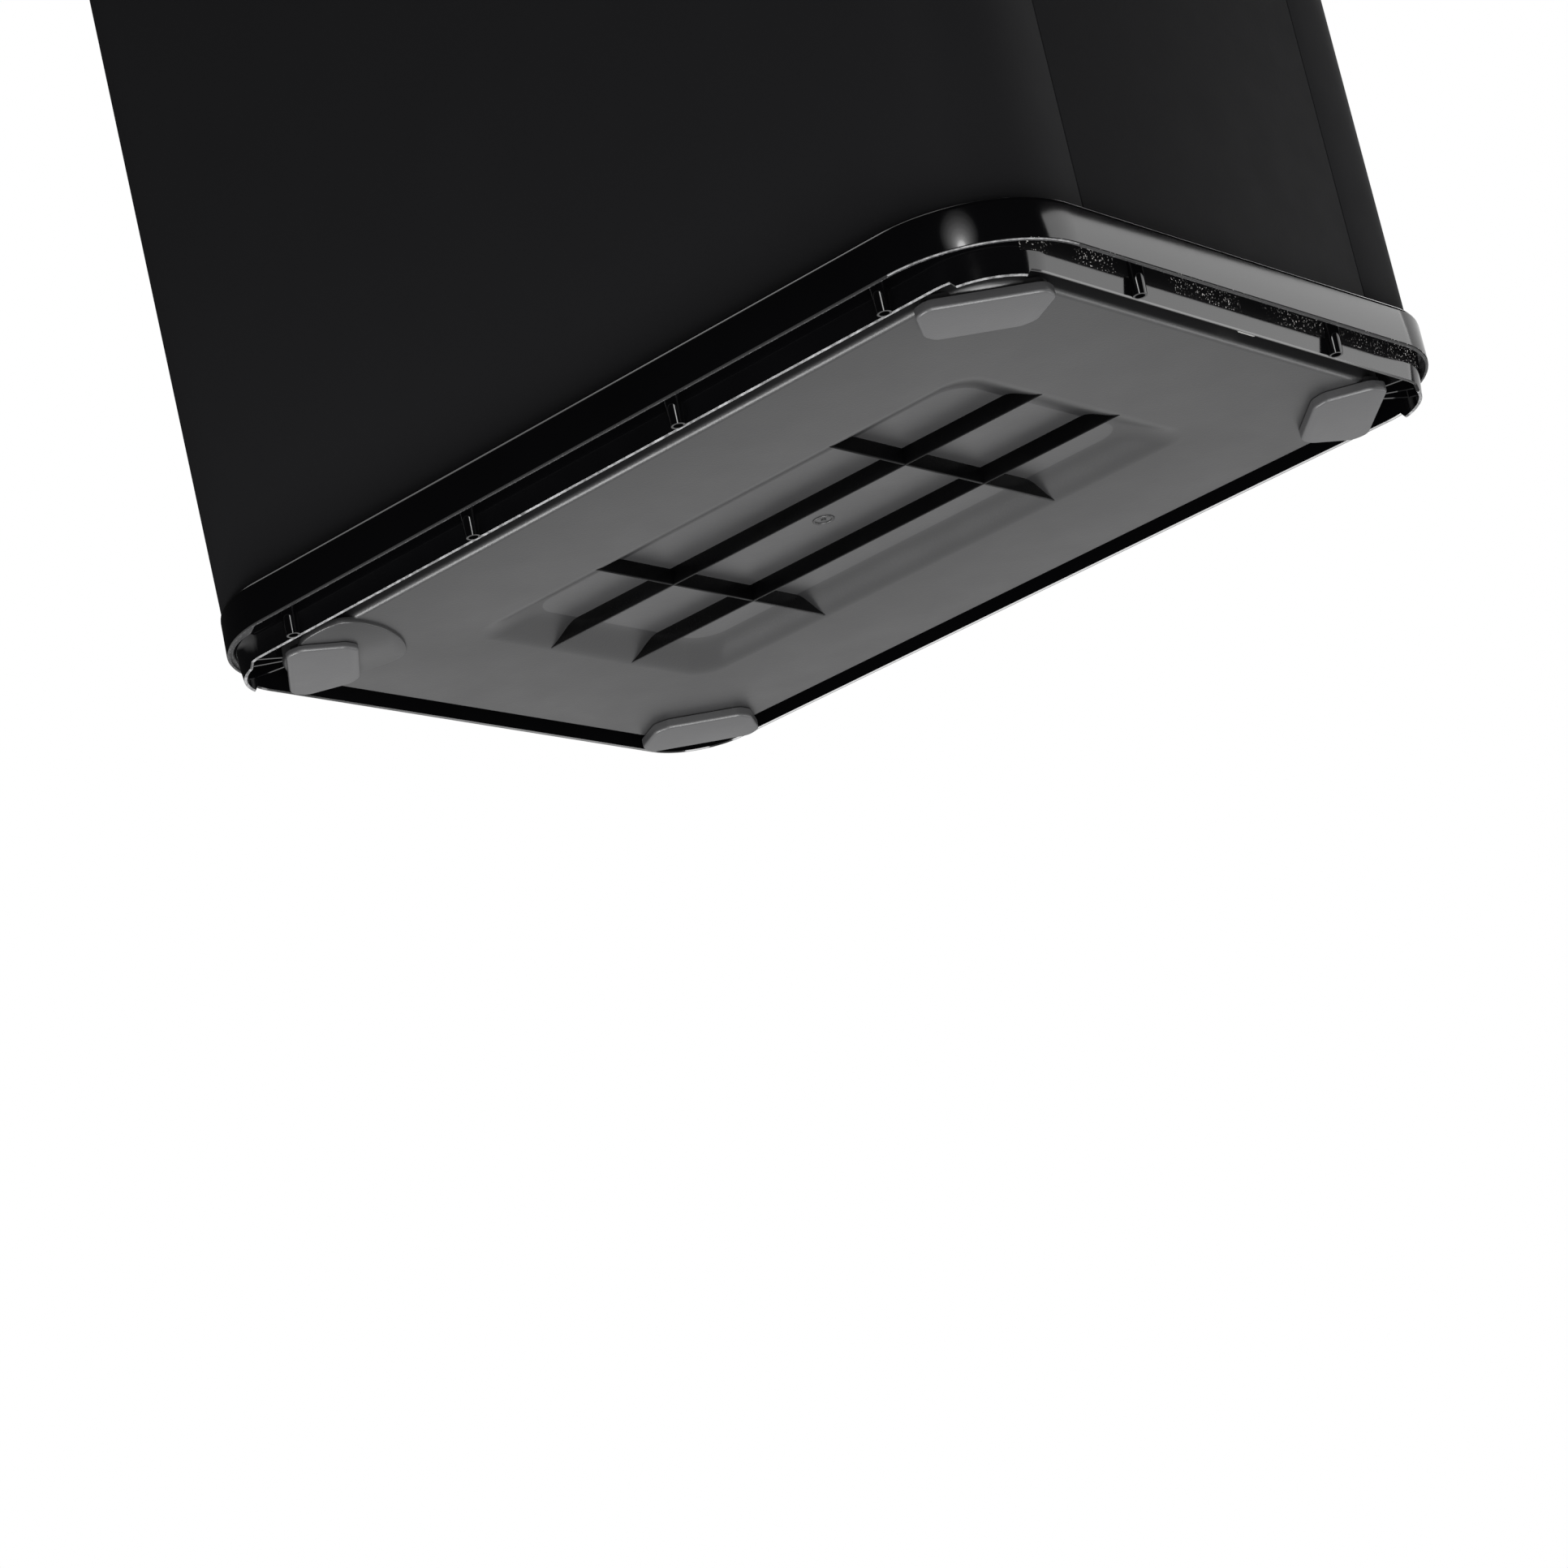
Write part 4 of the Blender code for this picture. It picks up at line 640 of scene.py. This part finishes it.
def bead_places():
    """On the right side and the rear one only."""
    bead_x, bead_y = RING_HALF_X - BEAD_INSET, RING_HALF_Y - BEAD_INSET
    right = [(bead_x, RING_Y + way * y) for y in BEADS_LONG_SIDE for way in (-1, 1)]
    rear = [(way * BEADS_REAR, RING_Y + bead_y) for way in (-1, 1)]
    return right + rear


def bead_piece():
    """Hollow round beads, half sunk in the skirt and a little wider at the top."""
    bm = bmesh.new()
    low, high = SKIRT_BOTTOM + BEAD_RISE, RING_BOTTOM + GROOVE_DEPTH + OVERLAP
    outside = ((BEAD_FOOT, low), (BEAD_HEAD, high))
    section = outside + tuple((radius - BEAD_WALL, z) for radius, z in reversed(outside))
    for x, y in bead_places():
        rows = [at_height(circle(x, y, radius, BEAD_STEPS), z) for radius, z in section]
        skin(bm, rows, join_ends=True)
    return linked("skirt_beads", bm)


def web_piece():
    """Thin webs between the ring's skirt and its inner shelf, in the corners."""
    bm = bmesh.new()
    middle = Vector((RING_HALF_X, RING_HALF_Y)) - Vector((1, 1)) * (SKIRT_INSET + SKIRT_RADIUS)
    heights = (PLATE_BOTTOM + PLATE_THICKNESS + GAP, FLANGE_BOTTOM)
    for sx, sy in CORNERS:
        for angle in WEB_ANGLES:
            out = Vector((math.cos(math.radians(angle)), math.sin(math.radians(angle))))
            side = Vector((-out.y, out.x)) * WEB_HALF
            start, end = (middle + out * reach for reach in WEB_REACH)
            points = (start - side, end - side, end + side, start + side)
            corners = [(sx * point.x, RING_Y + sy * point.y) for point in points]
            closed_loft(bm, [at_height(corners, z) for z in heights])
    return linked("corner_webs", bm)


def clip_piece():
    bm = bmesh.new()
    block(bm, CLIP_LOW, CLIP_HIGH, CLIP_EDGE)
    return linked("base_clip", bm)


def plate_loop(half_x, half_y, radius, z):
    return at_height(centred(half_x, half_y, radius), z)


def recess_rows(bottom):
    """Loops down the recess's soft walls, from its rim to its floor."""
    rows = []
    for i in range(RECESS_STEPS + 1):
        t = i / RECESS_STEPS
        inset = RECESS_SLOPE * t
        z = bottom + RECESS_DEPTH * eased(t)
        rows.append(plate_loop(RECESS_HALF_X - inset, RECESS_HALF_Y - inset, RECESS_RADIUS, z))
    return rows


def plate_rim(inset, z):
    return plate_loop(PLATE_HALF_X - inset, PLATE_HALF_Y - inset, PLATE_RADIUS - inset, z)


def plate_piece():
    """A thin tray, open at the top. Its recess's floor has the second finish, which is painted lighter as
    light on it.
    """
    bm = bmesh.new()
    wall, top = PLATE_THICKNESS, FLANGE_BOTTOM - GAP
    outer = [plate_rim(0.0, top)]
    for inward, upward in quarter_turn(PLATE_EDGE_STEPS):
        outer.append(plate_rim(PLATE_EDGE * inward, PLATE_BOTTOM + PLATE_EDGE * upward))
    outer += recess_rows(PLATE_BOTTOM)
    inner = recess_rows(PLATE_BOTTOM + wall)[::-1]
    inner += [plate_rim(wall, z) for z in (PLATE_BOTTOM + wall, top)]
    made = skin(bm, outer)
    # The recess's floor gets the finish with painted light.
    bm.faces.new(made[-1]).material_index = 1
    under = skin(bm, inner)
    bm.faces.new(under[0])
    first, last = made[0], under[-1]
    for i in range(len(first)):
        j = (i + 1) % len(first)
        bm.faces.new((first[i], first[j], last[j], last[i]))
    return linked("base_plate_shell", bm, sharp_from=50)


def rib_piece():
    bm = bmesh.new()
    half = RIB_THICKNESS / 2
    low, high = PLATE_BOTTOM + RIB_SINK, PLATE_BOTTOM + RECESS_DEPTH + RIB_ROOT
    front, back = RING_Y - RECESS_HALF_Y, RING_Y + RECESS_HALF_Y
    for side in (-1, 1):
        x, y = side * RIB_X, RING_Y + side * RIB_Y
        block(bm, (x - half, front, low), (x + half, back, high), RIB_EDGE)
        cross_low = (-RECESS_HALF_X, y - half, low + RIB_STEP)
        block(bm, cross_low, (RECESS_HALF_X, y + half, high), RIB_EDGE)
    return linked("base_ribs", bm)


def gate_piece():
    """The moulding gate's mark: a small raised ring round a nub, in the middle of the recess."""
    bm = bmesh.new()
    floor = PLATE_BOTTOM + RECESS_DEPTH
    rows = []
    for x, z in circle(GATE_RADIUS, floor, GATE_TUBE, GATE_STEPS):
        rows.append(at_height(circle(0, RING_Y, x, ROUND_STEPS), z))
    skin(bm, rows, join_ends=True)
    nub = [at_height(circle(0, RING_Y, radius, ROUND_STEPS), floor + z) for radius, z in NUB_SECTION]
    closed_loft(bm, nub)
    return linked("gate_mark", bm)


def pad_piece():
    """A low crescent boss round the front right foot."""
    bm = bmesh.new()
    points = smooth_loop([Vector(point) / MM_PER_METRE for point in PAD_OUTLINE], PAD_STEPS)
    middle = sum(points, Vector((0, 0))) / len(points)
    rows = []
    for inset, rise in PAD_SECTION:
        moved = [point - (point - middle).normalized() * inset for point in points]
        z = PLATE_BOTTOM - PAD_HEIGHT + rise
        rows.append([(point.x, RING_Y + point.y, z) for point in moved])
    closed_loft(bm, rows)
    return linked("foot_boss", bm)


def smooth_loop(points, steps):
    """A closed Catmull-Rom curve through the points."""
    curve = []
    count = len(points)
    for i in range(count):
        before, start, end, after = (points[(i + k) % count] for k in (-1, 0, 1, 2))
        first = end - before
        second = before * 2 - start * 5 + end * 4 - after
        third = start * 3 - before - end * 3 + after
        for k in range(steps):
            t = k / steps
            curve.append((start * 2 + first * t + second * t**2 + third * t**3) / 2)
    return curve


def foot_loop(sx, sy, shrink, z):
    """The foot's outline moved inward by shrink. sx and sy are its corner's signs."""
    along = Vector((math.cos(FOOT_ANGLE), math.sin(FOOT_ANGLE)))
    across = Vector((-along.y, along.x))
    corners = [Vector(corner) / MM_PER_METRE for corner in FOOT_CORNERS]
    radii = [FOOT_RADIUS] * len(corners)
    bar = [Vector(point) for point in rounded(corners, radii, FOOT_CORNER_STEPS)]
    row = []
    for i, point in enumerate(bar):
        way = (bar[(i + 1) % len(bar)] - bar[i - 1]).normalized()
        inward = point + Vector((-way.y, way.x)) * shrink
        flat = FOOT_CENTRE + along * inward.x + across * inward.y
        row.append((sx * flat.x, RING_Y + sy * flat.y, z))
    return row


def foot_piece(name, sx, sy, top):
    bm = bmesh.new()
    rows = [foot_loop(sx, sy, 0.0, top)]
    for inward, upward in quarter_turn(FOOT_EDGE_STEPS):
        rows.append(foot_loop(sx, sy, FOOT_EDGE * inward, FOOT_EDGE * upward))
    closed_loft(bm, rows)
    return linked(name, bm, sharp_from=60)


def ear_piece(name, sx, sy):
    """The part of the base plate that carries a foot past the plate's own corner."""
    bm = bmesh.new()
    heights = (PLATE_BOTTOM + PLATE_THICKNESS, PLATE_BOTTOM + GAP)
    closed_loft(bm, [foot_loop(sx, sy, EAR_SHRINK, z) for z in heights])
    return linked(name, bm, sharp_from=60)


# ---- casing pieces ----


def casing_row(z, inset):
    """The sheet at one height, from the left seam round the front to the right seam."""
    front = RING_Y - RING_HALF_Y + CASING_INSET - FRONT_LEAN * (z - RING_TOP)
    fx, fy = CASING_HALF_X - CASING_FRONT_RADIUS, front + CASING_FRONT_RADIUS
    bx, by = CASING_HALF_X - CASING_BACK_RADIUS, CASING_BACK - CASING_BACK_RADIUS
    front_radius, back_radius = CASING_FRONT_RADIUS - inset, CASING_BACK_RADIUS - inset
    edge = CASING_BACK - inset
    seam = [(SEAM_X, edge - CASING_EDGE), (SEAM_X + CASING_SOFT, edge - CASING_SOFT)]
    seam.append((SEAM_X + CASING_EDGE, edge))
    path = [(-x, y) for x, y in seam]
    path += arc(-bx, by, back_radius, 90, 180, CASING_STEPS)
    path += arc(-fx, fy, front_radius, 180, 270, CASING_STEPS)
    path += arc(fx, fy, front_radius, 270, 360, CASING_STEPS)
    path += arc(bx, by, back_radius, 0, 90, CASING_STEPS)
    return at_height(path + seam[::-1], z)


def casing_piece():
    bm = bmesh.new()
    edge = ((0.0, CASING_EDGE), (CASING_SOFT, CASING_SOFT), (CASING_EDGE, 0.0))
    rows = [casing_row(CASING_BOTTOM + rise, inset) for rise, inset in edge]
    rows += [casing_row(CASING_TOP - drop, inset) for drop, inset in reversed(edge)]
    rows += [casing_row(z, CASING_THICKNESS) for z in (CASING_TOP, CASING_BOTTOM)]
    skin(bm, rows, wrap=False, join_ends=True, cap_sides=True)
    return linked("casing_sheet", bm)


def panel_piece():
    """The flush back panel, with a joggled flange behind each edge of the casing."""
    edge, flange = SEAM_X - GAP, SEAM_X + PANEL_FLANGE
    sheet = CASING_BACK - CASING_THICKNESS
    front = sheet - GAP
    inner = front - CASING_THICKNESS
    step = edge - PANEL_STEP
    half = [
        (edge - CASING_EDGE, CASING_BACK),
        (edge - CASING_SOFT, CASING_BACK - CASING_SOFT),
        (edge, CASING_BACK - CASING_EDGE),
        (edge, front),
        (flange, front),
        (flange, inner),
        (step, inner),
        (step, sheet),
    ]
    points = half + [(-x, y) for x, y in reversed(half)]
    bm = bmesh.new()
    closed_loft(bm, [at_height(points, CASING_BOTTOM), at_height(points, CASING_TOP)])
    return linked("back_panel_sheet", bm)


# ---- placing pieces on the frame ----


def fit(piece, body, finish=None, nodes=()):
    if finish:
        piece.data.materials.append(finish)
    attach(piece, body)
    if nodes:
        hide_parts(*nodes)
    return piece


def refined(node, finish):
    """A welded, smoothly shaded copy of a CAD node, in its place."""
    bm = bmesh.new()
    bm.from_mesh(frame["nodes"][node].data)
    bmesh.ops.remove_doubles(bm, verts=bm.verts, dist=WELD)
    flat = math.radians(FLAT_DEGREES)
    bmesh.ops.dissolve_limit(bm, angle_limit=flat, verts=bm.verts, edges=bm.edges)
    piece = linked(f"{node}_finished", bm, sharp_from=32)
    fit(piece, frame["nodes"][node]["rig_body"], finish, (node,))


def build_base():
    fit(ring_piece(), "body", nodes=("base_ring",))
    fit(bead_piece(), "body", gloss_plastic("bead_gloss"))
    fit(web_piece(), "body", gloss_plastic("web_gloss"))
    fit(clip_piece(), "body", moulded_plastic("clip_grain", CLIP_GREY, roughness=0.5))
    plate_black = moulded_plastic("plate_grain", PLATE_BLACK, roughness=0.38, spread=0.05)
    # The recess's floor is painted lighter than the plate: painted light.
    recess_painted_light = moulded_plastic("recess_floor_painted_light", RECESS_PAINTED_LIGHT_BLACK, roughness=0.36, spread=0.1)
    plate = fit(plate_piece(), "body", plate_black, ("base_plate",))
    plate.data.materials.append(recess_painted_light)
    for piece in (gate_piece(), pad_piece()):
        fit(piece, "body", plate_black)
    # The ribs carry painted shade.
    fit(rib_piece(), "body", rib_painted_shade_plastic())
    build_feet(plate_black)


def build_feet(plate_black):
    foot_grey = moulded_plastic("foot_grain", FOOT_GREY, roughness=0.4, grain=1900.0)
    for name, (sx, sy) in zip(("rear_right", "rear_left", "front_left", "front_right"), CORNERS):
        top = FOOT_TOP - PAD_HEIGHT if name == "front_right" else FOOT_TOP
        foot = foot_piece(f"{name}_foot", sx, sy, top)
        fit(foot, "body", foot_grey, (f"foot_{name}",))
        fit(ear_piece(f"{name}_ear", sx, sy), "body", plate_black)


def build_casing():
    paint = casing_paint()
    fit(casing_piece(), "body", paint, ("outer_casing",))
    fit(panel_piece(), "body", paint, ("back_panel",))


def build_top():
    gloss = gloss_plastic("top_gloss", roughness=0.2)
    for node in ("top_collar", "rear_housing", "lid_shell", "lid_tray"):
        refined(node, gloss)
    inner = moulded_plastic("inner_grain", INNER_GREY, roughness=0.45)
    for node in ("lid_liner", "filter_cassette", "filter_cover", "press_plate"):
        refined(node, inner)
    bucket = moulded_plastic("bucket_grain", BUCKET_GREY, roughness=0.5, grain=900.0)
    for node in ("inner_bucket", "bucket_rim"):
        refined(node, bucket)
    grip = gloss_plastic("grip_gloss", roughness=0.22)
    for node in ("plunger_head", "grip_handle"):
        refined(node, grip)
    refined("lock_slide", moulded_plastic("lock_grain", LOCK_GREY, roughness=0.4))
    refined("grip_sleeve", rubber("grip_rubber_grain"))
    seal = rubber("seal_rubber_grain")
    for node in ("mouth_seal", "plate_wiper", *numbered("lid_buffer", 4)):
        refined(node, seal)
    refined("carbon_filter", felt())
    bush = moulded_plastic("bush_grain", BUSH_WHITE, roughness=0.38)
    for side in ("left", "right"):
        refined(f"rod_bush_{side}", bush)


def numbered(name, count):
    return [f"{name}_{i + 1}" for i in range(count)]


def build_metal():
    rods = brushed_steel("rod_polish", stretch=(1.0, 1.0, 0.04), roughness=0.18)
    for side in ("left", "right"):
        refined(f"plunger_rod_{side}", rods)
    steel = brushed_steel("screw_steel", stretch=(0.2, 1.0, 1.0))
    pins = ["hinge_pin", "grip_pin_left", "grip_pin_right", "catch_strike"]
    pins += numbered("rod_screw", 2) + numbered("housing_screw", 2)
    pins += numbered("base_screw", 4) + numbered("lid_screw", 4)
    for node in pins:
        refined(node, steel)
    nickel = brushed_steel("magnet_nickel", stretch=(1.0, 0.1, 1.0), roughness=0.35)
    refined("catch_magnet", nickel)


# ---- studio ----


def softbox(name, place, size, radiance, shape="RECTANGLE"):
    """A flat light of about the given radiance, which faces the object's base."""
    light = bpy.data.lights.new(name, "AREA")
    light.shape = shape
    light.size, light.size_y = size
    light.energy = radiance * math.pi * size[0] * size[1]
    obj = bpy.data.objects.new(name, light)
    obj.location = place
    obj.rotation_euler = (STUDIO_MIDDLE - place).to_track_quat("-Z", "Y").to_euler()
    bpy.context.scene.collection.objects.link(obj)
    obj.visible_camera = False


def toward(azimuth, elevation):
    """The light's place, in a direction given in degrees from +X and from level."""
    turn, rise = math.radians(azimuth), math.radians(elevation)
    level = math.cos(rise)
    way = Vector((level * math.cos(turn), level * math.sin(turn), math.sin(rise)))
    return STUDIO_MIDDLE + way * STUDIO_RADIUS


def build_lights():
    for name, azimuth, elevation, width, height, radiance in SOFTBOXES:
        softbox(name, toward(azimuth, elevation), (width, height), radiance)
    for i, radiance in enumerate(GLOW_RADIANCE):
        size = [start + growth * i for start, growth in zip(GLOW_SIZE, GLOW_GROWTH)]
        place = toward(GLOW_AZIMUTH, GLOW_ELEVATION + i)
        softbox(f"corner_glow_{i}", place, size, radiance, shape="ELLIPSE")


def build_world():
    """White behind the object. The light on it is strong from below the horizon and dim from above."""
    world = bpy.data.worlds.new("studio")
    world.use_nodes = True
    bpy.context.scene.world = world
    nodes, links = world.node_tree.nodes, world.node_tree.links
    nodes.clear()
    direction = nodes.new("ShaderNodeTexCoord")
    split = nodes.new("ShaderNodeSeparateXYZ")
    horizon = nodes.new("ShaderNodeMapRange")
    horizon.inputs["From Min"].default_value = -HORIZON_SOFTNESS
    horizon.inputs["From Max"].default_value = HORIZON_SOFTNESS
    horizon.inputs["To Min"].default_value = LIGHT_BELOW
    horizon.inputs["To Max"].default_value = LIGHT_ABOVE
    links.new(direction.outputs["Generated"], split.inputs[0])
    links.new(split.outputs["Z"], horizon.inputs["Value"])
    light, backdrop = nodes.new("ShaderNodeBackground"), nodes.new("ShaderNodeBackground")
    for background in (light, backdrop):
        background.inputs["Color"].default_value = (1.0, 1.0, 1.0, 1.0)
    backdrop.inputs["Strength"].default_value = 1.0
    links.new(horizon.outputs["Result"], light.inputs["Strength"])
    seen = nodes.new("ShaderNodeLightPath")
    mix = nodes.new("ShaderNodeMixShader")
    links.new(seen.outputs["Is Camera Ray"], mix.inputs[0])
    links.new(light.outputs[0], mix.inputs[1])
    links.new(backdrop.outputs[0], mix.inputs[2])
    output = nodes.new("ShaderNodeOutputWorld")
    links.new(mix.outputs[0], output.inputs["Surface"])


def floor_paper():
    """Pale, faintly glowing paper that can't be seen from below."""
    material = bpy.data.materials.new("floor_paper")
    material.use_nodes = True
    tree = material.node_tree
    shader = tree.nodes["Principled BSDF"]
    shader.inputs["Base Color"].default_value = (*PAPER_GREY, 1.0)
    shader.inputs["Roughness"].default_value = 0.9
    shader.inputs["Emission Color"].default_value = (1.0, 1.0, 1.0, 1.0)
    shader.inputs["Emission Strength"].default_value = FLOOR_GLOW
    below = tree.nodes.new("ShaderNodeNewGeometry")
    clear = tree.nodes.new("ShaderNodeBsdfTransparent")
    mix = tree.nodes.new("ShaderNodeMixShader")
    tree.links.new(below.outputs["Backfacing"], mix.inputs[0])
    tree.links.new(shader.outputs[0], mix.inputs[1])
    tree.links.new(clear.outputs[0], mix.inputs[2])
    tree.links.new(mix.outputs[0], tree.nodes["Material Output"].inputs["Surface"])
    return material


def build_floor():
    """A pale floor that only shows from above and casts no light on the object."""
    bm = bmesh.new()
    corners = [(x * FLOOR_HALF, y * FLOOR_HALF) for x, y in CORNERS]
    bm.faces.new([bm.verts.new(corner) for corner in at_height(corners, FLOOR_Z)])
    floor = linked("studio_floor", bm)
    floor.data.materials.append(floor_paper())
    floor.visible_diffuse = False
    floor.visible_glossy = False
    floor.visible_transmission = False
    floor.visible_shadow = False


def build_camera():
    data = bpy.data.cameras.new("camera")
    data.lens = CAMERA_LENS
    data.sensor_width = CAMERA_SENSOR
    camera = bpy.data.objects.new("camera", data)
    back = CAMERA_RIGHT.cross(CAMERA_UP)
    axes = Matrix((CAMERA_RIGHT, CAMERA_UP, back)).transposed().to_4x4()
    camera.matrix_world = Matrix.Translation(CAMERA_PLACE) @ axes
    bpy.context.scene.collection.objects.link(camera)
    bpy.context.scene.camera = camera


bpy.context.scene.view_settings.view_transform = "Standard"
build_base()
build_casing()
build_top()
build_metal()
build_world()
build_floor()
build_lights()
build_camera()
